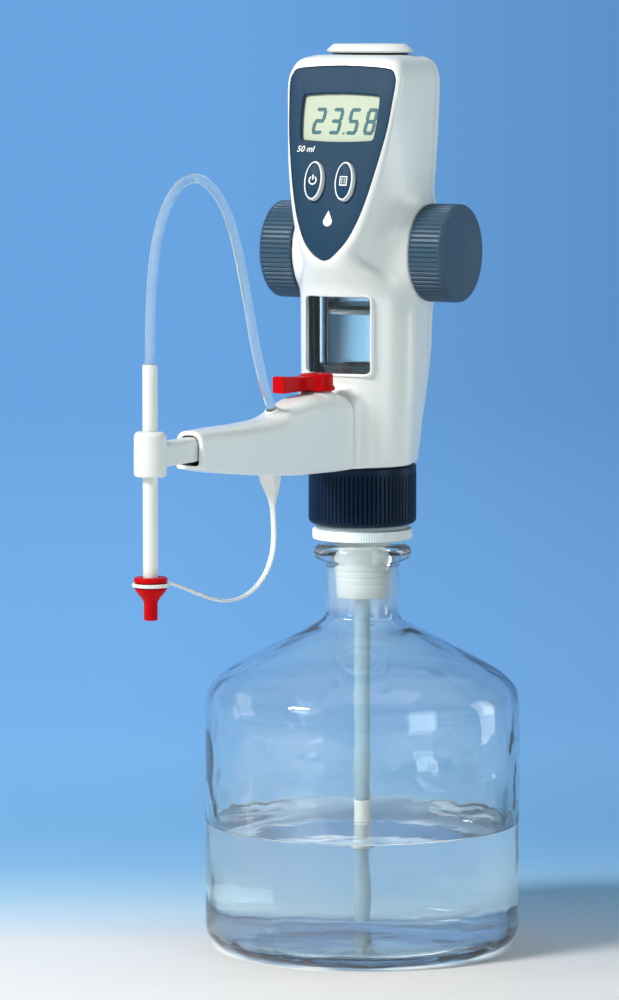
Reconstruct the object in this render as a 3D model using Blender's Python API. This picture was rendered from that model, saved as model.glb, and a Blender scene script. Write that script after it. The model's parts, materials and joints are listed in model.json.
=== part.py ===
"""Digital bottle-top burette on its reservoir bottle, as separate pieces in their rest position.

Blender 4.5. Every size below is in millimetres, and add_part() turns it into metres. +Z is up, the origin is the
centre of the bottle's underside, the display and the discharge arm face -Y, and +X is the user's right.
"""

from math import asin, cos, pi, radians, sin

import bmesh
import bpy
from mathutils import Matrix, Vector

MM = 0.001
GAP = 0.3

# Reservoir bottle
BOTTLE_RADIUS = 80.5
HEEL_RADIUS = 11.0
SHOULDER_START = 121.0
NECK_RADIUS = 18.6
RIM_RADIUS = 25.0
RIM_TOP = 206.6
CONE_TOP_RADIUS = 14.6
CONE_LOW_RADIUS = 13.0
CONE_TOP = 207.0
CONE_LOW = 179.5

# Union nut and what it clamps
FLANGE_RADIUS = 25.5
FLANGE_LOW = 209.3
FLANGE_TOP = 214.7
THREAD_RADIUS = 21.9
NUT_RADIUS = 27.5
NUT_LOW = 217.3
NUT_TOP = 247.5
BLOCK_NECK_RADIUS = 17.8

# Filling tube, which telescopes
TUBE_BORE = 3.5
TUBE_RADIUS = 4.1
LOWER_TUBE_RADIUS = 3.2
SLEEVE_LOW = 52.0
SLEEVE_TOP = 75.0
INTAKE_LOW = 15.0

# Measuring barrel and piston: 50 ml over 48.4 mm
BARREL_RADIUS = 20.3
BARREL_BORE = 18.15
BARREL_LOW = 296.8
BARREL_TOP = 350.4
BLOCK_RADIUS = 19.6
BLOCK_LOW = 249.0
BLOCK_TOP = 289.7
CHANNEL_RADIUS = 3.4
PISTON_LOW = 324.5

# Drive: handwheel shaft, reduction gear, rack
SHAFT_Y = 8.94
SHAFT_Z = 355.45
SHAFT_RADIUS = 2.5
GEAR_MODULE = 0.8
PINION_TEETH = 10
GEAR_TEETH = 28
COUNTER_Z = SHAFT_Z + GEAR_MODULE * (PINION_TEETH + GEAR_TEETH) / 2
RACK_PITCH_Y = SHAFT_Y + GEAR_MODULE * PINION_TEETH / 2
RACK_TEETH = 23
RACK_BACK_Y = 17.2
ADDENDUM = 0.6
DEDENDUM = 1.0
WHEEL_RADIUS = 24.8
WHEEL_INNER_X = 33.75
WHEEL_OUTER_X = 51.65

# Housing: z, front y, half width and corner radius of the front, half width at the seam and at the back,
# back y, and how far the side bows outwards
HOUSING_LEVELS = (
    (247.8, -30.0, 28.5, 27.5, 23.5, 20.0, 22.5, 0.0),
    (265.0, -30.6, 29.5, 28.5, 25.6, 23.0, 23.2, 0.0),
    (283.0, -31.0, 30.5, 29.5, 27.4, 25.7, 23.8, 0.0),
    (310.0, -31.2, 31.0, 30.0, 29.3, 28.5, 24.0, 0.0),
    (331.0, -31.4, 31.0, 30.0, 29.4, 29.0, 24.0, 0.0),
    (338.0, -33.5, 28.5, 25.0, 29.4, 29.0, 24.0, 1.0),
    (345.0, -38.0, 22.5, 16.0, 29.5, 29.0, 24.0, 2.6),
    (350.5, -42.0, 14.5, 9.0, 29.6, 29.0, 24.0, 4.2),
    (356.0, -42.9, 14.5, 5.0, 29.6, 29.0, 24.0, 4.2),
    (366.0, -40.5, 18.9, 4.5, 29.8, 29.2, 24.0, 3.2),
    (382.0, -36.7, 23.2, 4.0, 30.2, 29.8, 24.0, 2.4),
    (402.0, -31.9, 27.3, 3.8, 31.4, 31.0, 24.0, 1.4),
    (425.0, -26.4, 30.4, 3.5, 32.6, 32.4, 24.0, 0.5),
    (442.0, -22.4, 32.2, 3.5, 33.0, 32.8, 24.0, 0.0),
    (449.2, -20.4, 30.6, 4.5, 31.4, 31.2, 24.0, 0.0),
    (453.1, -18.4, 27.6, 6.0, 28.0, 27.8, 22.6, 0.0),
    (455.0, -13.5, 22.0, 8.0, 22.0, 22.0, 18.5, 0.0),
)
SEAM_Y = 16.0
SIDE_WALL = 2.4
FRONT_WALL = 5.2
BACK_WALL = 2.0
# Screws through the rear shell: x, z, the y of the shank's end and of the seat under the head
SCREWS = ((-8.0, 270.0, 9.0, 21.6), (8.0, 270.0, 9.0, 21.6), (-10.0, 388.2, 4.0, 22.4), (10.0, 388.2, 4.0, 22.4))
BOSS_RADIUS = 21.3
BOSS_ROOT_RADIUS = 24.5
BOSS_X = 33.3
TOP_WALL = 2.6
CAP_CENTRE = (0.0, 7.8)
CAP_HALF = (23.5, 14.8)
INLAY_HALF = (10.7, 5.3)

# Display panel: a shield in a plane that leans back; its own sizes run up the plane from its lower tip
TIP_Y = -43.0
TIP_Z = 353.4
LEAN = 0.24
PANEL_THICKNESS = 1.8
PANEL_EDGE = ((0, 0.0), (0.9, 3.2), (4.0, 7.2), (10.0, 12.0), (20.0, 16.7), (30.5, 20.0), (44.0, 23.2),
              (57.0, 25.8), (68.0, 27.6), (80.0, 28.8), (90.0, 29.6), (94.6, 28.6), (97.4, 25.4), (98.6, 13.0),
              (99.0, 0.0))
LCD_LOW = 61.2
LCD_HIGH = 84.0
LCD_LOW_HALF = 20.2
LCD_HIGH_HALF = 21.3
LCD_DEPTH = 2.1
KEY_CENTRES = {"power_key": -9.3, "function_key": 8.0}
KEY_HEIGHT = 39.8
KEY_HALF = (5.2, 10.0)
KEY_PROUD = 3.3
KEY_BOTTOM = 4.8
BOARD_DEPTH = 6.4

# Inspection window in the round front of the housing
FRONT_RADIUS = 31.3
PANE_OUTER = 30.6
PANE_INNER = 29.0
WINDOW_LOW = 295.0
WINDOW_HIGH = 334.6
WINDOW_HALF = 17.9

# Discharge arm: y, underside z, top z, half width
ARM_LEVELS = (
    (-34.0, 247.9, 285.5, 13.0),
    (-50.0, 248.1, 287.3, 12.4),
    (-62.0, 248.5, 287.3, 11.9),
    (-72.0, 248.9, 286.6, 11.6),
    (-84.0, 249.3, 284.3, 11.1),
    (-93.0, 249.9, 281.6, 10.8),
    (-102.0, 250.6, 279.7, 10.5),
    (-114.0, 251.6, 278.6, 10.0),
    (-136.0, 253.9, 278.3, 9.2),
    (-158.0, 256.6, 278.6, 8.3),
    (-180.0, 260.0, 278.6, 7.5),
)
ARM_WALL = 2.1
LEVER_Y = -50.2
LEVER_LOW = 288.7
LEVER_TOP = 297.0
LEVER_TURN = 15.0
LEVER_REACH = 28.0
PORT = Vector((0.0, -96.3, 281.0))
PORT_DIRECTION = Vector((0.0, -0.55, 1.0)).normalized()

# Titrating tube, its holder and its cap
TIP_AXIS_Y = -217.3
HOLDER_LOW = 264.0
HOLDER_HIGH = 275.6
HOLDER_HALF = 4.4
HOLDER_END_Y = -121.0
SLEEVE_RADIUS = 7.8
HOLDER_SLEEVE = (260.0, 281.5)
OUTLET_RADIUS = 3.6
OUTLET_TOP = 313.0
CAP_TOP = 212.3
CAP_LOW = 191.8

# Tubing from the arm to the titrating tube, and the cap's strap, both in the plane x = 0
HOSE_RADIUS = 2.3
HOSE_ROUTE = ((-98.0, 284.2), (-102.9, 291.6), (-107.6, 300.4), (-112.2, 310.8), (-116.2, 320.9), (-121.2, 335.9),
              (-126.4, 350.2), (-132.6, 364.9), (-140.6, 378.8), (-150.9, 389.6), (-162.6, 396.4), (-174.2, 398.8),
              (-184.6, 397.4), (-193.8, 392.8), (-202.5, 384.6), (-209.0, 374.2), (-213.2, 361.6), (-215.8, 346.6),
              (-216.9, 331.1), (-217.3, 318.0), (-217.3, 309.0))
HOSE_APEX = 11
STRAP_RADIUS = 1.3
STRAP_ROUTE = ((-96.6, 236.0), (-95.5, 228.0), (-95.2, 218.0), (-97.6, 209.6), (-104.2, 201.8), (-115.8, 195.6),
               (-129.7, 192.8), (-143.8, 192.9), (-157.8, 195.4), (-171.6, 199.4), (-185.3, 203.6), (-197.5, 207.0),
               (-207.9, 208.4))
STRAP_MIDDLE = 6
RING_Z = 208.6

FINISHES = {
    "glass": ((0.80, 0.88, 0.90, 0.35), 0.05, 0.0),
    "clear_plastic": ((0.82, 0.88, 0.92, 0.4), 0.15, 0.0),
    "white_plastic": ((0.86, 0.87, 0.85, 1.0), 0.35, 0.0),
    "milky_plastic": ((0.85, 0.88, 0.88, 0.8), 0.40, 0.0),
    "navy_plastic": ((0.035, 0.075, 0.14, 1.0), 0.40, 0.0),
    "dark_plastic": ((0.03, 0.035, 0.04, 1.0), 0.50, 0.0),
    "red_plastic": ((0.60, 0.01, 0.015, 1.0), 0.35, 0.0),
    "seal": ((0.05, 0.05, 0.055, 1.0), 0.60, 0.0),
    "steel": ((0.62, 0.62, 0.64, 1.0), 0.25, 1.0),
    "display": ((0.70, 0.80, 0.60, 1.0), 0.25, 0.0),
    "board": ((0.02, 0.16, 0.07, 1.0), 0.50, 0.0),
    "battery": ((0.10, 0.10, 0.12, 1.0), 0.35, 0.3),
}


def clear_scene():
    for obj in list(bpy.data.objects):
        bpy.data.objects.remove(obj, do_unlink=True)


def finish(name):
    """The material of this name, made on first use."""
    if name in bpy.data.materials:
        return bpy.data.materials[name]
    colour, roughness, metallic = FINISHES[name]
    material = bpy.data.materials.new(name)
    material.use_nodes = True
    shader = material.node_tree.nodes["Principled BSDF"]
    shader.inputs["Base Color"].default_value = colour
    shader.inputs["Roughness"].default_value = roughness
    shader.inputs["Metallic"].default_value = metallic
    shader.inputs["Alpha"].default_value = colour[3]
    return material


def add_part(name, bm, finish_name, origin=(0.0, 0.0, 0.0)):
    """An object from a bmesh in world millimetres, with its origin at the given point."""
    bmesh.ops.remove_doubles(bm, verts=bm.verts, dist=1e-4)
    bmesh.ops.recalc_face_normals(bm, faces=bm.faces)
    bmesh.ops.translate(bm, verts=bm.verts, vec=-Vector(origin))
    bmesh.ops.scale(bm, verts=bm.verts, vec=(MM, MM, MM))
    mesh = bpy.data.meshes.new(name)
    bm.to_mesh(mesh)
    bm.free()
    mesh.shade_smooth()
    mesh.set_sharp_from_angle(angle=radians(35))
    obj = bpy.data.objects.new(name, mesh)
    obj.location = Vector(origin) * MM
    bpy.context.scene.collection.objects.link(obj)
    if finish_name:
        mesh.materials.append(finish(finish_name))
    return obj


def combine(part, bm, operation="DIFFERENCE", solver="EXACT"):
    """Cuts a bmesh from a part, or joins it on, with a Boolean whose tool stays hidden."""
    tool = add_part(f"{part.name}_tool_{len(part.modifiers) + 1}", bm, None)
    tool.hide_render = True
    tool.display_type = "WIRE"
    boolean = part.modifiers.new(f"{operation.lower()}_{len(part.modifiers) + 1}", "BOOLEAN")
    boolean.operation = operation
    boolean.object = tool
    boolean.solver = solver


def turned(profile, steps=32, centre=(0.0, 0.0, 0.0), direction=(0.0, 0.0, 1.0)):
    """A profile of (radius, height) turned about an axis through centre. It is a closed loop unless it ends on the axis."""
    bm = bmesh.new()
    verts = [bm.verts.new((r, 0.0, h)) for r, h in profile]
    edges = [bm.edges.new(pair) for pair in zip(verts, verts[1:])]
    if profile[0][0] > 0 or profile[-1][0] > 0:
        edges.append(bm.edges.new((verts[-1], verts[0])))
    bmesh.ops.spin(bm, geom=verts + edges, cent=(0, 0, 0), axis=(0, 0, 1), angle=2 * pi, steps=steps, use_merge=True)
    bmesh.ops.remove_doubles(bm, verts=bm.verts, dist=1e-4)
    turn = Vector((0, 0, 1)).rotation_difference(Vector(direction)).to_matrix().to_4x4()
    bm.transform(Matrix.Translation(centre) @ turn)
    return bm


def loft(rings):
    """A closed skin over rings of points, with a flat face on each end."""
    bm = bmesh.new()
    loops = [[bm.verts.new(point) for point in ring] for ring in rings]
    for low, high in zip(loops, loops[1:]):
        for i in range(len(low)):
            j = (i + 1) % len(low)
            bm.faces.new((low[i], low[j], high[j], high[i]))
    bm.faces.new(loops[0][::-1])
    bm.faces.new(loops[-1])
    return bm


def prism(outline, place, low, high):
    """An outline of (a, b) points extruded from low to high, where place(a, b, height) gives a point in the world."""
    return loft([[place(a, b, height) for a, b in outline] for height in (low, high)])


def upright(x, y, z):
    """Places an outline in (x, y) that is extruded along Z."""
    return Vector((x, y, z))


def box(low, high):
    outline = ((low[0], low[1]), (high[0], low[1]), (high[0], high[1]), (low[0], high[1]))
    return prism(outline, upright, low[2], high[2])


def along_x(y, z, x):
    """Places an outline in (y, z) that is extruded along X."""
    return Vector((x, y, z))


def along_y(x, z, y):
    """Places an outline in (x, z) that is extruded along Y."""
    return Vector((x, y, z))


def on_panel(x, up, depth):
    """A point at x, up the panel's plane from its tip, and at a depth behind the panel's face."""
    up_vector = Vector((0, LEAN, 1)).normalized()
    inward = Vector((0, 1, -LEAN)).normalized()
    return Vector((x, TIP_Y, TIP_Z)) + up_vector * up + inward * depth


def arc(centre, radius, start, end, steps):
    """Points on an arc, by angle in degrees."""
    angles = [radians(start + (end - start) * i / steps) for i in range(steps + 1)]
    return [(centre[0] + radius * cos(a), centre[1] + radius * sin(a)) for a in angles]


def oval(centre, half, steps=16):
    turns = [2 * pi * i / steps for i in range(steps)]
    return [(centre[0] + half[0] * cos(t), centre[1] + half[1] * sin(t)) for t in turns]


def grown(outline, margin):
    """The outline with every side moved outwards by margin. Its points run counter-clockwise."""
    result = []
    for i, (x, y) in enumerate(outline):
        before = Vector((x, y)) - Vector(outline[i - 1])
        after = Vector(outline[(i + 1) % len(outline)]) - Vector((x, y))
        first = Vector((before.y, -before.x)).normalized()
        second = Vector((after.y, -after.x)).normalized()
        reach = (first + second) / (1 + first.dot(second))
        result.append((x + reach.x * margin, y + reach.y * margin))
    return result


def smooth_route(points, spacing):
    """Points at about this spacing on a Catmull-Rom curve through (y, z) points, in the plane x = 0."""
    knots = [Vector((0, y, z)) for y, z in points]
    ends = [2 * knots[0] - knots[1]] + knots + [2 * knots[-1] - knots[-2]]
    result = [knots[0]]
    for a, b, c, d in zip(ends, ends[1:], ends[2:], ends[3:]):
        steps = max(1, round((c - b).length / spacing))
        for i in range(1, steps + 1):
            t = i / steps
            bend = (2 * a - 5 * b + 4 * c - d) * t * t + (3 * b - a - 3 * c + d) * t * t * t
            result.append(b + ((c - a) * t + bend) / 2)
    return result


def add_cord(name, route, radius, finish_name):
    """A tube along points in millimetres."""
    curve = bpy.data.curves.new(name, "CURVE")
    curve.dimensions = "3D"
    curve.bevel_depth = radius * MM
    curve.bevel_resolution = 2
    curve.use_fill_caps = True
    spline = curve.splines.new("POLY")
    spline.points.add(len(route) - 1)
    for point, place in zip(spline.points, route):
        point.co = (*(place * MM), 1.0)
    curve.materials.append(finish(finish_name))
    bpy.context.scene.collection.objects.link(bpy.data.objects.new(name, curve))


# Bottle and base


def make_bottle():
    cone_slope = (CONE_TOP_RADIUS - CONE_LOW_RADIUS) / (CONE_TOP - CONE_LOW)
    mouth = CONE_TOP_RADIUS + GAP
    throat = CONE_LOW_RADIUS + GAP - cone_slope * 3.5
    heel = BOTTLE_RADIUS - HEEL_RADIUS
    outside = [(0, 0), (heel, 0)] + arc((heel, HEEL_RADIUS), HEEL_RADIUS, -70, 0, 3)
    outside += [(BOTTLE_RADIUS, SHOULDER_START), (80.0, 128.0), (78.4, 132.8), (72.0, 139.4), (62.0, 145.4), (50.0, 151.6),
                (31.6, 161.4), (22.5, 166.0), (NECK_RADIUS, 171.0), (NECK_RADIUS, 196.0), (21.5, 197.6),
                (24.2, 199.0), (RIM_RADIUS, 202.1), (24.2, 205.3), (21.5, RIM_TOP)]
    inside = [(mouth, RIM_TOP), (throat, 176.0), (14.5, 170.0), (19.0, 163.6), (30.2, 158.2), (48.6, 148.8),
              (60.4, 142.6), (69.8, 136.8), (75.2, 131.4), (76.9, 127.0), (77.5, SHOULDER_START), (77.5, 15.0),
              (75.5, 9.5), (69.0, 7.0), (0, 8.0)]
    add_part("reservoir_bottle", turned(outside + inside, 28), "glass")


def make_adapter():
    profile = [(8.5, CONE_LOW), (CONE_LOW_RADIUS, CONE_LOW), (CONE_TOP_RADIUS, CONE_TOP), (14.3, 207.6),
               (14.3, FLANGE_LOW), (FLANGE_RADIUS, FLANGE_LOW), (FLANGE_RADIUS, FLANGE_TOP), (THREAD_RADIUS, FLANGE_TOP),
               (THREAD_RADIUS, 232.0), (8.5, 232.0)]
    add_part("ground_joint_adapter", turned(profile, 24), "milky_plastic")
    ring = [(22.3, 215.0), (24.0, 215.0), (24.0, 217.0), (22.3, 217.0)]
    add_part("adapter_seal_ring", turned(ring, 20), "seal")
    gasket = [(12.0, 232.3), (21.5, 232.3), (21.5, 234.3), (12.0, 234.3)]
    add_part("adapter_gasket", turned(gasket, 20), "seal")


def make_union_nut():
    profile = [(22.3, NUT_LOW), (26.0, NUT_LOW), (NUT_RADIUS, 219.0), (NUT_RADIUS, 244.0), (27.2, NUT_TOP),
               (18.2, NUT_TOP), (18.2, 240.0), (22.3, 240.0)]
    add_part("union_nut", turned(profile, 28), "navy_plastic")


def make_valve_block():
    """The body that joins the nut, the filling tube, the barrel and the arm, with its filling channel."""
    profile = [(4.5, 234.6), (THREAD_RADIUS, 234.6), (THREAD_RADIUS, 239.6), (BLOCK_NECK_RADIUS, 239.6),
               (BLOCK_NECK_RADIUS, BLOCK_LOW), (BLOCK_RADIUS, BLOCK_LOW), (BLOCK_RADIUS, BLOCK_TOP),
               (CHANNEL_RADIUS, BLOCK_TOP), (CHANNEL_RADIUS, 246.0), (4.5, 244.0)]
    block = add_part("valve_block", turned(profile, 24), "white_plastic")
    for x in (-8.0, 8.0):
        combine(block, turned([(0, 7.0), (1.8, 7.0), (1.8, 30.0), (0, 30.0)], 12, (x, 0, 270.0), (0, 1, 0)))
    ball = [(2.8 * cos(radians(a)), 252.0 + 2.8 * sin(radians(a))) for a in range(-90, 91, 30)]
    ball[0] = (0, ball[0][1])
    ball[-1] = (0, ball[-1][1])
    add_part("filling_valve_ball", turned(ball, 10), "glass")


def make_filling_tubes():
    upper = [(TUBE_BORE, SLEEVE_TOP + GAP), (TUBE_RADIUS, SLEEVE_TOP + GAP), (TUBE_RADIUS, 242.6), (TUBE_BORE, 242.6)]
    add_part("filling_tube_upper", turned(upper, 12), "milky_plastic")
    sleeve = [(TUBE_BORE, SLEEVE_LOW), (4.6, SLEEVE_LOW), (4.6, SLEEVE_TOP), (TUBE_BORE, SLEEVE_TOP)]
    add_part("filling_tube_sleeve", turned(sleeve, 12), "white_plastic")
    lower = [(2.2, INTAKE_LOW), (LOWER_TUBE_RADIUS, INTAKE_LOW), (LOWER_TUBE_RADIUS, 98.0), (2.2, 98.0)]
    add_part("filling_tube_lower", turned(lower, 12), "milky_plastic", (0, 0, INTAKE_LOW))


# Barrel and drive


def make_barrel():
    seat = [(CHANNEL_RADIUS, 290.0), (21.6, 290.0), (21.6, 298.4), (20.6, 298.4), (20.6, 296.5),
            (CHANNEL_RADIUS, 296.5)]
    add_part("barrel_seat", turned(seat, 24), "dark_plastic")
    tube = [(BARREL_BORE, BARREL_LOW), (BARREL_RADIUS, BARREL_LOW), (BARREL_RADIUS, BARREL_TOP),
            (BARREL_BORE, BARREL_TOP)]
    add_part("glass_barrel", turned(tube, 28), "glass")
    collar = [(20.6, 341.0), (21.8, 341.0), (21.8, 346.0), (20.6, 346.0)]
    add_part("barrel_collar", turned(collar, 24), "white_plastic")
    cradle = arc((0, 0), BARREL_RADIUS + 1.5, -18, 198, 12) + arc((0, 0), BARREL_RADIUS + 0.5, 198, -18, 12)
    add_part("barrel_cradle", prism(cradle, upright, 299.0, 340.6), "dark_plastic")


def rack_outline(low, teeth):
    """The rack bar seen along X, as (y, z): teeth towards -Y, with a gap at the height of the reduction gear."""
    pitch = pi * GEAR_MODULE
    tip = RACK_PITCH_Y - ADDENDUM
    root = RACK_PITCH_Y + DEDENDUM
    first = COUNTER_Z - (teeth // 2 - 1.5) * pitch
    points = [(RACK_BACK_Y, low), (root, low)]
    for i in range(teeth):
        z = first + i * pitch
        points += [(root, z - 0.68), (tip, z - 0.24), (tip, z + 0.24), (root, z + 0.68)]
    top = points[-1][1] + 1.5
    return points + [(root, top), (RACK_BACK_Y, top)]


def make_piston():
    seal = [(0, PISTON_LOW + 0.4), (16.4, PISTON_LOW + 0.4), (17.4, PISTON_LOW), (17.85, PISTON_LOW + 0.5),
            (17.85, PISTON_LOW + 2.6), (0, PISTON_LOW + 2.6)]
    add_part("piston_seal", turned(seal, 24), "white_plastic", (0, 0, PISTON_LOW))
    plate_low = PISTON_LOW + 2.9
    plate_top = plate_low + 1.6
    plate = [(0, plate_low), (17.5, plate_low), (17.5, plate_top), (0, plate_top)]
    rod = add_part("piston_rack", turned(plate, 20), "dark_plastic", (0, 0, PISTON_LOW))
    combine(rod, prism(rack_outline(plate_top - 0.8, RACK_TEETH), along_x, -3.0, 3.0), "UNION")


def gear_outline(teeth, centre, first_tooth):
    """A gear's outline as (y, z). first_tooth is the angle of one tooth's middle, in degrees."""
    pitch_radius = GEAR_MODULE * teeth / 2
    tip = pitch_radius + ADDENDUM
    root = pitch_radius - DEDENDUM
    corners = ((root, -0.62), (tip, -0.22), (tip, 0.22), (root, 0.62))
    points = []
    for i in range(teeth):
        middle = radians(first_tooth) + 2 * pi * i / teeth
        for radius, offset in corners:
            angle = middle + offset / radius
            points.append((centre[0] + radius * cos(angle), centre[1] + radius * sin(angle)))
    return points


def make_drive():
    shaft_place = (0, SHAFT_Y, SHAFT_Z)
    shaft = add_part("handwheel_shaft", turned([(0, -47), (SHAFT_RADIUS, -47), (SHAFT_RADIUS, 47), (0, 47)], 20,
                                               shaft_place, (1, 0, 0)), "steel", shaft_place)
    pinion = gear_outline(PINION_TEETH, (SHAFT_Y, SHAFT_Z), 90)
    combine(shaft, prism(pinion, along_x, 7.6, 11.4), "UNION")
    counter_place = (0, SHAFT_Y, COUNTER_Z)
    counter = add_part("reduction_gear", prism(gear_outline(PINION_TEETH, (SHAFT_Y, COUNTER_Z), 0), along_x, -3.4, 7.8),
                       "white_plastic", counter_place)
    wheel = gear_outline(GEAR_TEETH, (SHAFT_Y, COUNTER_Z), 270 + 180 / GEAR_TEETH)
    combine(counter, prism(wheel, along_x, 7.6, 11.0), "UNION")
    pin = [(0, -18.0), (1.7, -18.0), (1.7, 18.0), (0, 18.0)]
    combine(counter, turned(pin, 12, counter_place, (1, 0, 0)), "UNION")


def make_drive_frame():
    """The bracket that carries the shaft and the reduction gear."""
    side = ((-5.0, 351.2), (15.5, 351.2), (15.5, 378.0), (10.5, 390.0), (-5.0, 390.0))
    frame = add_part("drive_frame", prism(side, along_x, -17.4, 17.4), "steel")
    combine(frame, box((-15.8, -30, 340), (15.8, 30, 386.4)))
    for z, radius in ((SHAFT_Z, 2.9), (COUNTER_Z, 2.05)):
        combine(frame, turned([(0, -20), (radius, -20), (radius, 20), (0, 20)], 16, (0, SHAFT_Y, z), (1, 0, 0)))
    for x in (-10.0, 10.0):
        combine(frame, turned([(0, 2.0), (1.8, 2.0), (1.8, 20.0), (0, 20.0)], 12, (x, 0, 388.2), (0, 1, 0)))


def make_handwheels():
    """Each wheel is a cup with a hub, open towards the housing."""
    profile = [(0, 47.3), (2.8, 47.3), (2.8, WHEEL_INNER_X), (6.5, WHEEL_INNER_X), (6.5, 48.0), (21.6, 48.0),
               (21.6, WHEEL_INNER_X), (24.2, WHEEL_INNER_X), (WHEEL_RADIUS, 34.4), (WHEEL_RADIUS, 51.0),
               (24.0, WHEEL_OUTER_X), (0, WHEEL_OUTER_X)]
    place = (0, SHAFT_Y, SHAFT_Z)
    for name, side in (("handwheel_left", -1), ("handwheel_right", 1)):
        add_part(name, turned(profile, 28, place, (side, 0, 0)), "navy_plastic", place)
        bush = [(2.85, 27.6), (5.0, 27.6), (5.0, 33.2), (2.85, 33.2)]
        bush_name = name.replace("handwheel", "shaft_bush")
        add_part(bush_name, turned(bush, 14, place, (side, 0, 0)), "steel")


# Housing


def housing_ring(level, wall=0.0, front_wall=0.0, back_wall=0.0):
    """One level of the housing, as points from the front's middle round to the right, the back and the left."""
    z, front_y, front_half, corner, seam_half, back_half, back_y, bow = level
    front_y += front_wall
    back_y -= back_wall
    corner = max(corner - wall, 1.0)
    front_half -= wall
    seam_half -= wall
    back_half -= wall
    half = [(0.0, front_y), ((front_half - corner) * 0.6, front_y)]
    half += arc((front_half - corner, front_y + corner), corner, -90, 0, 4)
    side_start = half[-1]
    side_end_y = min(SEAM_Y, back_y - 4.0)
    for t in (0.33, 0.67, 1.0):
        x = side_start[0] + (seam_half - side_start[0]) * t + bow * 4 * t * (1 - t)
        half.append((x, side_start[1] + (side_end_y - side_start[1]) * t))
    half += arc((back_half - 3.0, back_y - 3.0), 3.0, 0, 90, 2)
    ring = half + [(0.0, back_y)] + [(-x, y) for x, y in half[:0:-1]]
    return [Vector((x, y, z)) for x, y in ring]


def housing_solid():
    return loft([housing_ring(level) for level in HOUSING_LEVELS])


def housing_cavity():
    """The hollow inside: thin at the sides, thicker behind the panel, and open below."""
    rings = []
    for level in HOUSING_LEVELS[:-1]:
        z = level[0]
        front = FRONT_WALL if z > 350 else SIDE_WALL
        rings.append(housing_ring(level, SIDE_WALL, front, BACK_WALL))
    for point in rings[0]:
        point.z -= 5
    for ring, z in ((rings[-2], 448.0), (rings[-1], HOUSING_LEVELS[-1][0] - TOP_WALL)):
        for point in ring:
            point.z = z
    return loft(rings)


def boss(side):
    """The round foot on each flank that the handwheel turns against."""
    profile = [(0, 20.0), (BOSS_ROOT_RADIUS, 20.0), (BOSS_ROOT_RADIUS, 27.0), (22.6, 29.6), (BOSS_RADIUS, BOSS_X - 0.6),
               (BOSS_RADIUS - 0.6, BOSS_X), (0, BOSS_X)]
    return turned(profile, 24, (0, SHAFT_Y, SHAFT_Z), (side, 0, 0))


def shaft_hole():
    return turned([(0, -40), (5.3, -40), (5.3, 40), (0, 40)], 14, (0, SHAFT_Y, SHAFT_Z), (1, 0, 0))


def panel_outline():
    right = [(half, up) for up, half in PANEL_EDGE]
    return right + [(-x, up) for x, up in right[-2:0:-1]]


def lcd_outline():
    """A box with softly bowed sides and round corners."""
    points = []
    for x, up in ((-1, 0), (-0.5, -0.03), (0, -0.04), (0.5, -0.03), (1, 0), (1.03, 0.5), (1, 1), (0.5, 1.04), (0, 1.05),
                  (-0.5, 1.04), (-1, 1), (-1.03, 0.5)):
        half = LCD_LOW_HALF + (LCD_HIGH_HALF - LCD_LOW_HALF) * up
        points.append((x * half, LCD_LOW + (LCD_HIGH - LCD_LOW) * up))
    return points


def window_ring(radius, margin):
    """The window's edge on a round face of this radius, as (angle, z) points that keep a margin inside the opening."""
    half = asin(WINDOW_HALF / FRONT_RADIUS)
    angle = half - margin / radius
    low = WINDOW_LOW + margin
    high = WINDOW_HIGH - margin
    steps = 8
    angles = [-angle + 2 * angle * i / steps for i in range(steps + 1)]
    corner = 2.4
    edge = []
    for a in angles:
        drop = corner if abs(abs(a) - angle) < 1e-6 else 0.0
        edge.append((a, low + drop))
    for a in reversed(angles):
        drop = corner if abs(abs(a) - angle) < 1e-6 else 0.0
        edge.append((a, high - drop))
    return [Vector((radius * sin(a), -radius * cos(a), z)) for a, z in edge]


def sheet_between(outer, inner):
    """A curved plate whose outer and inner faces are grids of the same two rows of points."""
    bm = bmesh.new()
    count = len(outer) // 2
    faces = []
    for ring in (outer, inner):
        verts = [bm.verts.new(point) for point in ring]
        faces.append((verts[:count], verts[count:][::-1]))
    (outer_low, outer_high), (inner_low, inner_high) = faces
    for low, high in faces:
        for i in range(count - 1):
            bm.faces.new((low[i], low[i + 1], high[i + 1], high[i]))
    for first, second in ((outer_low, inner_low), (outer_high, inner_high)):
        for i in range(count - 1):
            bm.faces.new((first[i], first[i + 1], second[i + 1], second[i]))
    for i in (0, count - 1):
        bm.faces.new((outer_low[i], outer_high[i], inner_high[i], inner_low[i]))
    return bm


def arm_collar():
    """The foot that carries the arm, flared where it meets the round front."""
    rings = []
    for y, half, low, high in ((-18.0, 20.0, 248.3, 292.0), (-26.0, 18.0, 248.3, 289.5), (-30.5, 14.6, 248.3, 287.0),
                               (-33.7, 13.0, 248.3, 285.6)):
        outline = [(-half, low), (half, low)] + arc((half - 6, high - 6), 6, 0, 90, 3)
        outline += arc((-half + 6, high - 6), 6, 90, 180, 3)
        rings.append([Vector((x, y, z)) for x, z in outline])
    return loft(rings)


def make_housing():
    front = add_part("housing_front", housing_solid(), "white_plastic")
    rear = add_part("housing_rear", housing_solid(), "white_plastic")
    combine(front, arm_collar(), "UNION")
    for shell in (front, rear):
        for side in (-1, 1):
            combine(shell, boss(side), "UNION")
        combine(shell, housing_cavity())
        combine(shell, shaft_hole())
    combine(front, box((-60, SEAM_Y - GAP / 2, 200), (60, 60, 500)), solver="MANIFOLD")
    combine(rear, box((-60, -60, 200), (60, SEAM_Y + GAP / 2, 500)), solver="MANIFOLD")
    combine(rear, box((-60, 24.05, 300), (60, 60, 500)))
    make_front_openings(front)
    make_rear_openings(rear)


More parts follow.
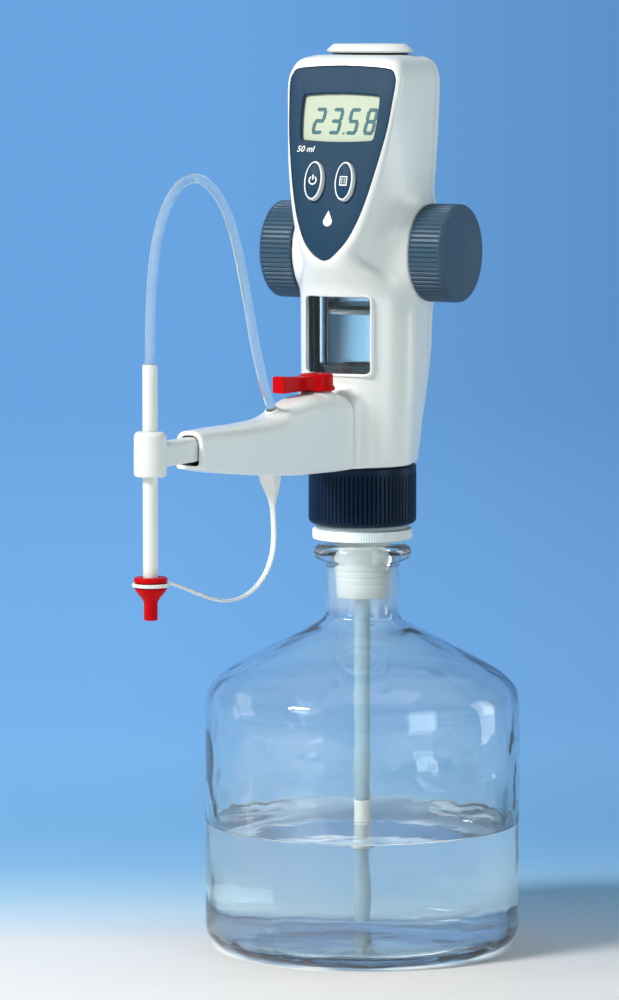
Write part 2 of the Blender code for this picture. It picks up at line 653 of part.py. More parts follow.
def make_front_openings(front):
    combine(front, prism(grown(panel_outline(), 0.35), on_panel, -4.0, PANEL_THICKNESS + GAP), solver="MANIFOLD")
    combine(front, prism(grown(lcd_outline(), 2.4), on_panel, 0.5, 10.0), solver="MANIFOLD")
    for x in KEY_CENTRES.values():
        hole = oval((x, KEY_HEIGHT), (KEY_HALF[0] + 0.5, KEY_HALF[1] + 0.5))
        combine(front, prism(hole, on_panel, 0.5, 10.0), solver="MANIFOLD")
    combine(front, sheet_between(window_ring(FRONT_RADIUS + 2.7, 0.0), window_ring(FRONT_RADIUS - 5.3, 0.0)), solver="MANIFOLD")
    combine(front, box((-10.0, -40.0, 252.6), (10.0, -20.0, 282.4)), solver="MANIFOLD")


def make_rear_openings(rear):
    combine(rear, box((-21.0, 15.0, 394.0), (21.0, 30.0, 446.0)), solver="MANIFOLD")
    for x, z, _, seat in SCREWS:
        hole = [(0, 14.0), (1.8, 14.0), (1.8, seat), (3.1, seat), (3.1, 30.0), (0, 30.0)]
        combine(rear, turned(hole, 12, (x, 0, z), (0, 1, 0)))


def make_rear_fittings():
    cover = prism(((-20.6, 394.4), (-20.6, 445.6), (20.6, 445.6), (20.6, 394.4)), along_y, 22.1, 23.9)
    add_part("battery_cover", cover, "white_plastic")
    cell = [(0, 397.0), (5.1, 397.0), (5.1, 440.2), (1.9, 440.4), (1.9, 441.2), (0, 441.2)]
    for name, x in (("battery_left", -11.6), ("battery_right", 11.6)):
        add_part(name, turned(cell, 14, (x, 15.6, 0)), "battery")
    for number, (x, z, end, seat) in enumerate(SCREWS, 1):
        head = seat + GAP
        screw = [(0, end), (1.5, end), (1.5, head), (2.8, head), (2.8, head + 0.5), (2.0, head + 1.2), (0, head + 1.2)]
        add_part(f"housing_screw_{number}", turned(screw, 10, (x, 0, z), (0, 1, 0)), "steel")


def make_top():
    seat = oval(CAP_CENTRE, (21.0, 12.8), 20)
    add_part("cap_gasket", prism(seat, upright, 455.3, 455.9), "seal")
    rings = []
    for z, margin in ((456.2, 1.0), (457.0, 0.0), (457.9, 0.4), (460.5, 3.6)):
        rings.append([Vector((x, y, z)) for x, y in oval(CAP_CENTRE, (CAP_HALF[0] - margin, CAP_HALF[1] - margin), 24)])
    cap = add_part("top_cap", loft(rings), "white_plastic")
    recess = oval(CAP_CENTRE, (INLAY_HALF[0] + GAP, INLAY_HALF[1] + GAP), 16)
    combine(cap, prism(recess, upright, 459.3, 462.0))
    add_part("top_inlay", prism(oval(CAP_CENTRE, INLAY_HALF, 16), upright, 459.6, 460.4), "seal")


def make_display():
    panel = add_part("display_panel", prism(panel_outline(), on_panel, 0.0, PANEL_THICKNESS), "navy_plastic")
    combine(panel, prism(lcd_outline(), on_panel, -2.0, 4.0))
    for name, x in KEY_CENTRES.items():
        centre = (x, KEY_HEIGHT)
        combine(panel, prism(oval(centre, (KEY_HALF[0] + 0.4, KEY_HALF[1] + 0.4)), on_panel, -2.0, 4.0))
        half = KEY_HALF
        rings = []
        for depth, margin in ((-KEY_PROUD, 0.9), (-KEY_PROUD + 0.8, 0.0), (KEY_BOTTOM, 0.0)):
            points = oval(centre, (half[0] - margin, half[1] - margin))
            rings.append([on_panel(a, b, depth) for a, b in points])
        add_part(name, loft(rings), "navy_plastic", on_panel(x, KEY_HEIGHT, 0))
    add_part("lcd_module", prism(grown(lcd_outline(), 1.9), on_panel, LCD_DEPTH, 6.1), "display")
    board = ((-14.5, 27.0), (14.5, 27.0), (23.5, 87.0), (-23.5, 87.0))
    add_part("circuit_board", prism(board, on_panel, BOARD_DEPTH, BOARD_DEPTH + 1.6), "board")


def make_window():
    pane = sheet_between(window_ring(PANE_OUTER, GAP), window_ring(PANE_INNER, GAP))
    add_part("inspection_window", pane, "clear_plastic")


# Discharge arm and what it carries


def arm_ring(level, wall=0.0):
    y, low, high, half = level
    low += wall
    high -= wall
    half -= wall
    corner = half * 0.75
    points = [(-half, low), (half, low)] + arc((half - corner, high - corner), corner, 0, 90, 3)
    points += arc((-half + corner, high - corner), corner, 90, 180, 3)
    return [Vector((x, y, z)) for x, z in points]


def make_arm():
    arm = add_part("discharge_arm", loft([arm_ring(level) for level in ARM_LEVELS]), "white_plastic")
    neck = [(0, 283.0), (8.4, 283.0), (8.2, 288.3), (0, 288.3)]
    combine(arm, turned(neck, 20, (0, LEVER_Y, 0)), "UNION")
    first, last = ARM_LEVELS[0], ARM_LEVELS[-1]
    levels = [(first[0] + 2, *first[1:])] + list(ARM_LEVELS[1:-1]) + [(last[0] - 2, *last[1:])]
    combine(arm, loft([arm_ring(level, ARM_WALL) for level in levels]))
    combine(arm, turned([(0, 270), (6.4, 270), (6.4, 292), (0, 292)], 16, (0, LEVER_Y, 0)))
    combine(arm, turned([(0, -8), (4.3, -8), (4.3, 6), (0, 6)], 12, PORT, PORT_DIRECTION))
    port = [(2.75, -3.2), (3.9, -3.2), (3.9, 1.6), (3.2, 2.2), (2.75, 2.2)]
    add_part("hose_port", turned(port, 12, PORT, PORT_DIRECTION), "white_plastic")


def make_outlet_valve():
    """The valve under the lever: its body, the line to the port, and the spindle."""
    body = add_part("outlet_valve_body", box((-8.6, -62.0, 254.0), (8.6, -20.4, 279.4)), "white_plastic")
    combine(body, turned([(0, 262.0), (6.3, 262.0), (6.3, 290.0), (0, 290.0)], 16, (0, LEVER_Y, 0)))
    line = smooth_route(((-62.4, 268.0), (-76.0, 268.0), (-86.0, 269.0), (-92.0, 272.0), (-94.6, 276.6)), 3.0)
    add_cord("discharge_line", line, 2.3, "clear_plastic")
    origin = (0, LEVER_Y, LEVER_LOW)
    spindle = [(0, 262.4), (6.0, 262.4), (6.0, 288.4), (0, 288.4)]
    add_part("valve_spindle", turned(spindle, 16, (0, LEVER_Y, 0)), "white_plastic", origin)
    knob = [(0, LEVER_LOW), (9.5, LEVER_LOW), (9.5, 290.5), (8.5, 291.0), (8.3, LEVER_TOP - 0.6),
            (7.7, LEVER_TOP), (0, LEVER_TOP)]
    lever = add_part("valve_lever", turned(knob, 20, (0, LEVER_Y, 0)), "red_plastic", origin)
    turn = Matrix.Rotation(radians(-LEVER_TURN), 3, "Z")
    rings = []
    for reach, half, low, high in ((4.0, 5.4, 289.4, 296.4), (12.0, 3.2, 289.4, 296.4), (LEVER_REACH - 6, 3.6, 288.4, 297.0),
                                   (LEVER_REACH, 3.9, 288.6, 297.0)):
        corners = ((-half, low), (half, low), (half, high), (-half, high))
        rings.append([turn @ Vector((x, -reach, z)) + Vector((0, LEVER_Y, 0)) for x, z in corners])
    combine(lever, loft(rings), "UNION")


def make_titrating_tube():
    corner = 3.0
    bar = [(-HOLDER_HALF, HOLDER_LOW), (HOLDER_HALF, HOLDER_LOW)]
    bar += arc((HOLDER_HALF - corner, HOLDER_HIGH - corner), corner, 0, 90, 3)
    bar += arc((-HOLDER_HALF + corner, HOLDER_HIGH - corner), corner, 90, 180, 3)
    holder = add_part("tube_holder", prism(bar, along_y, TIP_AXIS_Y + 5.5, HOLDER_END_Y), "white_plastic",
                      (0, TIP_AXIS_Y, (HOLDER_LOW + HOLDER_HIGH) / 2))
    low, high = HOLDER_SLEEVE
    sleeve = [(0, low), (SLEEVE_RADIUS, low), (SLEEVE_RADIUS, high - 3), (SLEEVE_RADIUS - 0.9, high - 0.9),
              (SLEEVE_RADIUS - 3, high), (0, high)]
    axis = (0, TIP_AXIS_Y, 0)
    combine(holder, turned(sleeve, 20, axis), "UNION")
    combine(holder, turned([(0, low - 5), (OUTLET_RADIUS + 0.35, low - 5), (OUTLET_RADIUS + 0.35, high + 5),
                            (0, high + 5)], 16, axis))
    tube = [(1.2, 197.0), (1.7, 197.0), (2.1, 204.0), (OUTLET_RADIUS, 207.0), (OUTLET_RADIUS, OUTLET_TOP - 0.5),
            (OUTLET_RADIUS - 0.5, OUTLET_TOP), (2.75, OUTLET_TOP), (2.75, 300.0), (1.2, 299.0)]
    add_part("titrating_tube", turned(tube, 16, axis), "white_plastic", (0, TIP_AXIS_Y, 207.0))
    cap = [(0, CAP_LOW), (3.3, CAP_LOW), (3.3, 200.6), (4.6, 202.6), (7.6, 206.4), (7.9, 207.2), (6.8, 207.3),
           (6.8, 209.9), (7.9, 210.0), (8.0, 212.0), (7.6, CAP_TOP), (4.0, CAP_TOP), (4.0, 206.4), (2.5, 203.6),
           (2.3, 195.5), (0, 195.5)]
    add_part("tip_cap", turned(cap, 18, axis), "red_plastic", (0, TIP_AXIS_Y, RING_Z))
    ring = [(7.15, RING_Z - 0.9), (8.9, RING_Z - 0.9), (8.9, RING_Z + 0.9), (7.15, RING_Z + 0.9)]
    add_part("strap_ring", turned(ring, 18, axis), "white_plastic")


def make_cords():
    """The tubing and the strap, each in two lengths so that each length can follow its own end."""
    route = smooth_route(HOSE_ROUTE, 9.0)
    middle = min(range(len(route)), key=lambda i: abs(route[i].y - HOSE_ROUTE[HOSE_APEX][0]))
    step = (route[middle + 1] - route[middle]).normalized() * 3 * GAP
    add_cord("hose_arm_side", route[:middle + 1], HOSE_RADIUS, "clear_plastic")
    add_cord("hose_tube_side", [route[middle] + step] + route[middle + 1:], HOSE_RADIUS, "clear_plastic")
    strap = smooth_route(STRAP_ROUTE, 7.0)
    middle = min(range(len(strap)), key=lambda i: abs(strap[i].y - STRAP_ROUTE[STRAP_MIDDLE][0]))
    step = (strap[middle + 1] - strap[middle]).normalized() * 3 * GAP
    add_cord("strap_arm_side", strap[:middle + 1], STRAP_RADIUS, "white_plastic")
    add_cord("strap_cap_side", [strap[middle] + step] + strap[middle + 1:], STRAP_RADIUS, "white_plastic")
    tab = ((-103.6, 249.4), (-97.5, 236.4), (-95.4, 236.4), (-95.2, 248.8))
    add_part("strap_tab", prism(tab, along_x, -2.4, 2.4), "white_plastic")


def main():
    clear_scene()
    make_bottle()
    make_adapter()
    make_union_nut()
    make_valve_block()
    make_filling_tubes()
    make_barrel()
    make_piston()
    make_drive()
    make_drive_frame()
    make_handwheels()
    make_housing()
    make_rear_fittings()
    make_top()
    make_display()
    make_window()
    make_arm()
    make_outlet_valve()
    make_titrating_tube()
    make_cords()


main()
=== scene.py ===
import json
from math import cos, hypot, pi, radians, sin, sqrt

import bmesh
import bpy
from mathutils import Matrix, Vector

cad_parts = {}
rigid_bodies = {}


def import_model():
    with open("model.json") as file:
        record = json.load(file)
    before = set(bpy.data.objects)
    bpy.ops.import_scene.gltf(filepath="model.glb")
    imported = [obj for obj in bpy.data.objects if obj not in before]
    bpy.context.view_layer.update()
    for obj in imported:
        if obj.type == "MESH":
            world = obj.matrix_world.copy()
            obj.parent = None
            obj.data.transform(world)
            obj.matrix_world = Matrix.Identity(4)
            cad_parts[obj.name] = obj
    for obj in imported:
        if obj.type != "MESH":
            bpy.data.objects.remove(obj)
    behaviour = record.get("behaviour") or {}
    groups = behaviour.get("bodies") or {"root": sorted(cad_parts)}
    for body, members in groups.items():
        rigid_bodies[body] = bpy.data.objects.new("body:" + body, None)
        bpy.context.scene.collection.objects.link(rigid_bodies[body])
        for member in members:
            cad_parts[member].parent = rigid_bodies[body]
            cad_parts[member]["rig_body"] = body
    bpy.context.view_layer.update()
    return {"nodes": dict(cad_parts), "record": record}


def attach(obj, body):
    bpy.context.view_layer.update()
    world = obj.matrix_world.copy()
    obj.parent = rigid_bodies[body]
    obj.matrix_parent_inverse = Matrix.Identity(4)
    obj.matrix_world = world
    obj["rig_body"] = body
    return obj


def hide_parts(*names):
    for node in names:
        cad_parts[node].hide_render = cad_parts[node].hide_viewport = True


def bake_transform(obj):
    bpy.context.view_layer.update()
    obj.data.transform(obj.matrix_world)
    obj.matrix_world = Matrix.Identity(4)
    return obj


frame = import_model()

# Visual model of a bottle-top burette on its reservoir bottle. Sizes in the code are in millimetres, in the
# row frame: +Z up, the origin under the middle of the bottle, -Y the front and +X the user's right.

MM = 0.001
NODES = frame["nodes"]
SLOT_OF = {row["node"]: row["material_slot"] for row in frame["record"]["subparts"]}

# The camera looks down on the front from the user's right
CAMERA_PLACE = (1.1738, -2.2651, 0.4969)
CAMERA_AZIMUTH = 28
CAMERA_PITCH = 6
CAMERA_LENS = 181.08
SENSOR = 36
ACROSS = (cos(radians(CAMERA_AZIMUTH)), sin(radians(CAMERA_AZIMUTH)), 0)
AWAY = (-sin(radians(CAMERA_AZIMUTH)), cos(radians(CAMERA_AZIMUTH)), 0)

# Tubing and cap strap, in the plane x = 0
HOSE_RADIUS = 2.3
HOSE_ROUTE = ((-98, 284.2), (-102.9, 291.6), (-107.6, 300.4), (-112.2, 310.8), (-116.2, 320.9),
              (-121.2, 335.9), (-126.4, 350.2), (-132.6, 364.9), (-140.6, 378.8), (-150.9, 389.6),
              (-162.6, 396.4), (-174.2, 398.8), (-184.6, 397.4), (-193.8, 392.8), (-202.5, 384.6),
              (-209, 374.2), (-213.2, 361.6), (-215.8, 346.6), (-216.9, 331.1), (-217.3, 318), (-217.3, 309))
HOSE_APEX = 11
CORD_STEPS = 8
STRAP_HALF = (1.45, 0.8)
STRAP_ROUTE = ((-96.6, 236), (-95.5, 228), (-95.2, 218), (-97.6, 209.6), (-104.2, 201.8), (-115.8, 195.6),
               (-129.7, 192.8), (-143.8, 192.9), (-157.8, 195.4), (-171.6, 199.4), (-185.3, 203.6),
               (-197.5, 207), (-207.9, 208.4))
STRAP_CUTS = (5, 8)
TIP_Y = -217.3
RING_Z = 208.6

# Drive
SHAFT_Y = 8.94
SHAFT_Z = 355.45
WHEEL_RIBS = 62
NUT_RIBS = 75
FLANGE_RIBS = 120
RIB_POINTS = 8

# Housing levels: z, front y, half width and corner radius of the front, half width at the seam and at the
# back, back y, and how far the side bows outwards
HOUSING_LEVELS = (
    (247.8, -30, 28.5, 27.5, 23.5, 20, 22.5, 0),
    (265, -30.6, 29.5, 28.5, 25.6, 23, 23.2, 0),
    (283, -31, 30.5, 29.5, 27.4, 25.7, 23.8, 0),
    (310, -31.2, 31, 30, 29.3, 28.5, 24, 0),
    (331, -31.4, 31, 30, 29.4, 29, 24, 0),
    (338, -33.5, 28.6, 27.2, 29.4, 29, 24, 1),
    (345, -37.9, 23.6, 21.4, 29.5, 29, 24, 2.4),
    (350.5, -41.4, 18, 15, 29.6, 29, 24, 3.6),
    (356, -42.9, 15.4, 8.8, 29.6, 29, 24, 4),
    (366, -40.5, 18.9, 5, 29.8, 29.2, 24, 3.2),
    (382, -36.7, 23.2, 4, 30.2, 29.8, 24, 2.4),
    (402, -31.9, 27.3, 3.8, 31.4, 31, 24, 1.4),
    (425, -26.4, 30.4, 3.5, 32.6, 32.4, 24, 0.5),
    (442, -22.4, 32.2, 3.5, 33, 32.8, 24, 0),
    (449.2, -20.4, 30.6, 4.5, 31.4, 31.2, 24, 0),
    (453.1, -18.4, 27.6, 6, 28, 27.8, 22.6, 0),
    (455, -13.5, 22, 8, 22, 22, 18.5, 0),
)
LEVEL_STEP = 1.6
SEAM_Y = 16
SEAM_GAP = 0.45
SIDE_WALL = 2.4
FRONT_WALL = 5.2
BACK_WALL = 2
BOSS_X = 33.55
BOSS_RADIUS = 23.6
BOSS_FLARE = 11
COLLAR_Y = -33.7
COLLAR_HALF = 13
COLLAR_TOP = 285.5
COLLAR_FLARE = 6.5
SCREWS = ((-8, 270, 21.6), (8, 270, 21.6), (-10, 388.2, 22.4), (10, 388.2, 22.4))

TOP_CENTRE = (0, 7.8)

# Display panel, whose own sizes run up its plane from the lower tip
PANEL_TIP = (0, -43, 353.4)
PANEL_UP = Vector((0, 0.24, 1)).normalized()
PANEL_IN = Vector((0, 1, -0.24)).normalized()
PANEL_THICKNESS = 1.8
PANEL_EDGE = ((0, 0), (0.9, 3.2), (4, 7.2), (10, 12), (20, 16.7), (30.5, 20), (44, 23.2), (57, 25.8),
              (68, 27.6), (80, 28.8), (90, 29.6), (94.6, 28.6), (97.4, 25.4), (98.6, 13), (99, 0))
LCD_LOW = 61.2
LCD_HIGH = 84
LCD_LOW_HALF = 20.2
LCD_HIGH_HALF = 21.3
LCD_DEPTH = 2.1
KEY_CENTRES = {"power_key": -9.3, "function_key": 8}
KEY_HEIGHT = 39.8
KEY_HALF = (5.2, 10)
KEY_PROUD = 3.3
KEY_BOTTOM = 4.8

# Inspection window
WINDOW_LOW = 295
WINDOW_HIGH = 334.6
WINDOW_HALF = 18.5
WINDOW_CURVE = 42
WINDOW_Y = -31.6

# Discharge arm: y, underside z, top z, half width
ARM_LEVELS = (
    (-34, 247.9, 285.5, 13),
    (-50, 248.1, 287.3, 12.4),
    (-62, 248.5, 287.3, 11.9),
    (-72, 248.9, 286.6, 11.6),
    (-84, 249.3, 284.3, 11.1),
    (-93, 249.9, 281.6, 10.8),
    (-102, 250.6, 279.7, 10.5),
    (-114, 251.6, 278.6, 10),
    (-136, 253.9, 278.3, 9.2),
    (-158, 256.6, 278.6, 8.3),
    (-180, 260, 278.6, 7.5),
)
ARM_WALL = 2.1
LEVER_Y = -50.2
LEVER_TURN = 15
PORT = Vector((0, -96.3, 281))
PORT_DIRECTION = Vector((0, -0.55, 1)).normalized()

LIQUID_LEVEL = 63.6

# The bottle's glass by its height, as a share of GLASS_BAND metres: how clear and how rough it is, where its
# neck is ground, and how strongly it waves
GLASS_BAND = 0.2
GLASS_CLEARNESS = ((0, 0.965), (0.05, 0.975), (0.86, 0.975), (0.88, 0.9), (0.97, 0.9), (0.99, 0.975))
GLASS_ROUGHNESS = ((0.86, 0), (0.88, 0.12), (0.97, 0.12), (0.99, 0))
GLASS_WAVES = ((0, 0.8), (0.09, 0.7), (0.14, 0.3), (0.3, 0.3), (0.38, 1), (0.5, 0.9), (0.62, 0.35), (1, 0.2))

# The floor, in metres: its colours by how far they are beyond the bottle, pale near it as a painted pool of
# light, the last one being the backdrop's; the stretch over which floor and backdrop darken to the camera's
# right in painted shade; and the light caught under the bottle, painted on the floor as a streaked glow
BACKDROP = (0.145, 0.375, 0.765)
STUDIO_STOPS = ((0, (0.205, 0.25, 0.255)), (0.45, (0.19, 0.255, 0.28)), (0.75, BACKDROP), (1, BACKDROP))
# The pale colours near the bottle are a painted pool of light on the blue paper
FLOOR_STOPS = ((-0.2, (0.94, 0.93, 0.92)), (-0.1, (0.94, 0.93, 0.92)), (0, (0.88, 0.89, 0.90)),
               (0.06, (0.65, 0.81, 0.95)), (0.14, (0.43, 0.70, 0.91)), (0.22, (0.30, 0.58, 0.89)),
               (0.32, (0.235, 0.53, 0.88)), (0.55, (0.21, 0.49, 0.87)), (0.8, (0.185, 0.45, 0.85)),
               (3.2, BACKDROP))
# Painted shade: floor and backdrop darken to the camera's right over these stretches, down to the share below
FLOOR_FADE = (-0.159, 0.369)
BACKDROP_FADE = (-0.02, 0.06)
DARKEST_PAINTED_SHADE = 0.76
GLOW_STRETCH = (0.25, 0.7)
PAINTED_CAUSTIC_EDGE = (0.066, 0.078)
PAINTED_CAUSTIC_STRENGTH = 1.15
PAINTED_CAUSTIC_STREAKS = ((0.36, (0.16, 0.3, 0.42)), (0.5, (0.62, 0.82, 0.97)), (0.62, (1, 1, 1)))
FLOOR_Z = -0.3
FLOOR_RINGS = (60, 200, 600, 1500, 4000)

# Area lights, in metres: name, place, size, watts, colour, and the only pieces that it lights, if not all
LIGHTS_AIM = (0, -0.03, 0.25)
WHITE = (1, 1, 1)
LIGHTS = (
    ("key", (-1, -2.05, 1.95), (0.7, 0.6), 84, (1, 0.965, 0.935), ()),
    ("fill", (1.9, -0.6, 0.4), (0.7, 1.2), 10, (0.82, 0.98, 0.97), ()),
    ("side", (1.35, 1.2, 0.6), (0.4, 1.2), 5.5, WHITE, ()),
    ("top", (0.2, 0.1, 2.2), (1.2, 1.2), 3, WHITE, ()),
    ("inner", (-0.9, -2, 1.2), (0.9, 0.9), 44, (0.84, 0.95, 1),
     ("feed_tube_upper", "feed_tube_sleeve", "feed_tube_lower", "cone_adapter")),
    ("window", (-0.3, -2.2, 0.6), (0.5, 0.5), 90, WHITE, ("barrel_back",)),
)


# Materials


def new_material(name):
    """A node material, with its tree, its shader and its texture coordinates."""
    material = bpy.data.materials.new(name)
    material.use_nodes = True
    tree = material.node_tree
    shader = tree.nodes["Principled BSDF"]
    place = tree.nodes.new("ShaderNodeTexCoord").outputs["Object"]
    return material, tree, shader, place


def feed(output, node, name):
    node.id_data.links.new(output, node.inputs[name])


def noise(tree, place, scale, detail=3):
    """Noise over the row frame, with its scale in waves for each metre."""
    node = tree.nodes.new("ShaderNodeTexNoise")
    node.inputs["Scale"].default_value = scale
    node.inputs["Detail"].default_value = detail
    feed(place, node, "Vector")
    return node.outputs["Fac"]


def ramp(tree, factor, stops):
    node = tree.nodes.new("ShaderNodeValToRGB")
    elements = node.color_ramp.elements
    while len(elements) < len(stops):
        elements.new(0.5)
    for element, (position, colour) in zip(elements, stops):
        element.position = position
        element.color = (*colour, 1)
    feed(factor, node, "Fac")
    return node.outputs["Color"]


def map_range(tree, factor, low, high, to_low=0, to_high=1):
    node = tree.nodes.new("ShaderNodeMapRange")
    for name, value in (("From Min", low), ("From Max", high), ("To Min", to_low), ("To Max", to_high)):
        node.inputs[name].default_value = value
    feed(factor, node, "Value")
    return node.outputs["Result"]


def spread_noise(tree, factor, low, high):
    """Noise, which mostly lies between 0.3 and 0.7, spread over low to high."""
    return map_range(tree, factor, 0.3, 0.7, low, high)


def vector_math(tree, operation, first, second=(0, 0, 0)):
    node = tree.nodes.new("ShaderNodeVectorMath")
    node.operation = operation
    feed(first, node, 0)
    node.inputs[1].default_value = second
    return node.outputs["Value"]


def drifting(tree, shader, factor, first, last):
    """Base colour that drifts between two colours."""
    feed(ramp(tree, factor, ((0.3, first), (0.7, last))), shader, "Base Color")


def bump(tree, shader, height, strength, distance):
    node = tree.nodes.new("ShaderNodeBump")
    node.inputs["Strength"].default_value = strength
    node.inputs["Distance"].default_value = distance
    feed(height, node, "Height")
    feed(node.outputs["Normal"], shader, "Normal")


def scaled(colour, share):
    return tuple(min(1, channel * share) for channel in colour)


def plastic(name, colour, roughness, spread=0.05, grain=2500, relief=0.00002, coat=0, gloss=0.5):
    """Moulded plastic: a faint drift of colour, a fine spark-eroded grain, and gloss that varies a little."""
    material, tree, shader, place = new_material(name)
    drifting(tree, shader, noise(tree, place, 22), scaled(colour, 1 - spread), scaled(colour, 1 + spread / 2))
    feed(spread_noise(tree, noise(tree, place, 60), roughness * 0.95, roughness * 1.05), shader, "Roughness")
    bump(tree, shader, noise(tree, place, grain, 2), 0.25, relief)
    shader.inputs["Specular IOR Level"].default_value = gloss
    shader.inputs["Coat Weight"].default_value = coat
    shader.inputs["Coat Roughness"].default_value = 0.08
    return material


def clear(name, colour, roughness, ior, transmission=1, waves=9, relief=0.0004, strength=0.1):
    """Glass, liquid or clear plastic: thickness that waves a little, which bends what is seen through it."""
    material, tree, shader, place = new_material(name)
    drifting(tree, shader, noise(tree, place, 15), scaled(colour, 0.985), colour)
    shader.inputs["Roughness"].default_value = roughness
    shader.inputs["IOR"].default_value = ior
    shader.inputs["Transmission Weight"].default_value = transmission
    bump(tree, shader, noise(tree, place, waves, 1), strength, relief)
    return material


def tubing(name, colour, transmission):
    """Clear soft tubing, whose walls shine white along its edges."""
    material = clear(name, colour, 0.12, 1.1, transmission, relief=0)
    shader = material.node_tree.nodes["Principled BSDF"]
    shader.inputs["Sheen Weight"].default_value = 1
    shader.inputs["Sheen Roughness"].default_value = 0.25
    return material


def bottle_material():
    """Thick blown glass: it waves strongly, is hazier towards its heavy base, and is ground in its neck."""
    material, tree, shader, place = new_material("bottle_glass")
    drifting(tree, shader, noise(tree, place, 15), (0.98, 0.985, 0.97), (0.99, 0.995, 0.985))
    shader.inputs["IOR"].default_value = 1.47
    height = tree.nodes.new("ShaderNodeSeparateXYZ")
    feed(place, height, "Vector")
    share = map_range(tree, height.outputs["Z"], 0, GLASS_BAND)

    def by_height(stops):
        return ramp(tree, share, [(at, (value,) * 3) for at, value in stops])

    feed(by_height(GLASS_CLEARNESS), shader, "Transmission Weight")
    feed(by_height(GLASS_ROUGHNESS), shader, "Roughness")
    waves = tree.nodes.new("ShaderNodeMath")
    waves.operation = "MULTIPLY"
    feed(noise(tree, place, 34, 1.5), waves, 0)
    feed(by_height(GLASS_WAVES), waves, 1)
    bump(tree, shader, waves.outputs["Value"], 0.6, 0.0038)
    return material


def metal(name, colour, roughness, stretch=(1, 1, 0.05)):
    """Drawn or turned metal with fine marks along one direction."""
    material, tree, shader, place = new_material(name)
    mapping = tree.nodes.new("ShaderNodeMapping")
    mapping.inputs["Scale"].default_value = stretch
    feed(place, mapping, "Vector")
    marks = noise(tree, mapping.outputs["Vector"], 3000)
    drifting(tree, shader, marks, scaled(colour, 0.85), colour)
    feed(spread_noise(tree, marks, roughness * 0.8, roughness * 1.3), shader, "Roughness")
    shader.inputs["Metallic"].default_value = 1
    bump(tree, shader, marks, 0.15, 0.00002)
    return material


def circuit_material():
    """Solder resist with traces."""
    material, tree, shader, place = new_material("board_green")
    bricks = tree.nodes.new("ShaderNodeTexBrick")
    bricks.inputs["Scale"].default_value = 220
    bricks.inputs["Color1"].default_value = (0.01, 0.13, 0.05, 1)
    bricks.inputs["Color2"].default_value = (0.015, 0.17, 0.07, 1)
    bricks.inputs["Mortar"].default_value = (0.05, 0.3, 0.12, 1)
    feed(place, bricks, "Vector")
    feed(bricks.outputs["Color"], shader, "Base Color")
    feed(spread_noise(tree, noise(tree, place, 200), 0.3, 0.5), shader, "Roughness")
    return material


def make_materials():
    return {
        "bottle_glass": bottle_material(),
        "barrel_glass": clear("barrel_glass", (0.86, 0.93, 0.97), 0, 1.47),
        "window_plastic": clear("window_clear", (0.93, 0.97, 0.98), 0.02, 1.49),
        "clear_tubing": tubing("clear_tubing", (0.84, 0.95, 1), 0.8),
        "feed_tubing": tubing("feed_tubing", (0.66, 0.89, 1), 0.6),
        "lcd_glass": plastic("lcd_pale_green", (0.435, 0.52, 0.385), 0.35, 0.02, relief=0, gloss=0.3),
        "milky_plastic": clear("milky_plastic", (0.87, 0.925, 0.935), 0.4, 1.4, 0.2),
        "white_housing": plastic("white_housing", (0.815, 0.83, 0.81), 0.3, 0.008, coat=0.15),
        "white_plastic": plastic("white_plastic", (0.755, 0.775, 0.755), 0.34, 0.02),
        "navy_plastic": plastic("navy_plastic", (0.0105, 0.046, 0.094), 0.5, 0.05, gloss=0.12),
        "wheel_plastic": plastic("wheel_plastic", (0.034, 0.08, 0.13), 0.42, 0.06, gloss=0.3),
        "nut_plastic": plastic("nut_plastic", (0.003, 0.014, 0.038), 0.38, 0.08, gloss=0.15),
        "dark_plastic": plastic("dark_plastic", (0.018, 0.03, 0.04), 0.4, 0.1, gloss=0.3),
        # Painted light: the pale blue seen through the barrel, put on the plate behind it
        "barrel_back_painted_light": plastic("barrel_back_painted_light", (0.3, 0.5, 0.68), 0.45, 0.05, gloss=0.3),
        "red_plastic": plastic("red_plastic", (0.53, 0.0015, 0.004), 0.3, 0.04, gloss=0.06),
        "seal_grey": plastic("seal_grey", (0.3, 0.37, 0.41), 0.5),
        "seal_rubber": plastic("seal_rubber", (0.035, 0.037, 0.04), 0.6, 0.15, 900, 0.00005),
        "steel": metal("steel", (0.6, 0.61, 0.63), 0.28),
        "battery_can": metal("battery_can", (0.25, 0.3, 0.36), 0.35, (0.05, 0.05, 1)),
        "board": circuit_material(),
        "liquid": clear("liquid", (0.95, 0.985, 1), 0, 1.333, 0.975, 38, 0.0016, 0.5),
        "segment": plastic("lcd_segment", (0.03, 0.13, 0.16), 0.35, 0.05, relief=0, gloss=0.2),
        "marking": plastic("white_marking", (0.78, 0.81, 0.82), 0.4, 0.02, relief=0),
    }


# Mesh building


def skin(loops, wrap=False, caps=True, closed=True):
    """A bmesh over rows of points, where one point is a fan's tip. wrap joins the last row to the first."""
    bm = bmesh.new()
    rows = [[bm.verts.new(point) for point in loop] for loop in loops]
    pairs = list(zip(rows, rows[1:])) + ([(rows[-1], rows[0])] if wrap else [])
    for low, high in pairs:
        count = max(len(low), len(high))
        for i in range(count if closed else count - 1):
            j = (i + 1) % count
            corners = [low[i % len(low)], low[j % len(low)], high[j % len(high)], high[i % len(high)]]
            corners = [v for k, v in enumerate(corners) if v not in corners[:k]]
            if len(corners) > 2:
                bm.faces.new(corners)
    if caps and not wrap:
        for row in (rows[0], rows[-1]):
            if len(row) > 2:
                bm.faces.new(row)
    bmesh.ops.recalc_face_normals(bm, faces=bm.faces)
    return bm


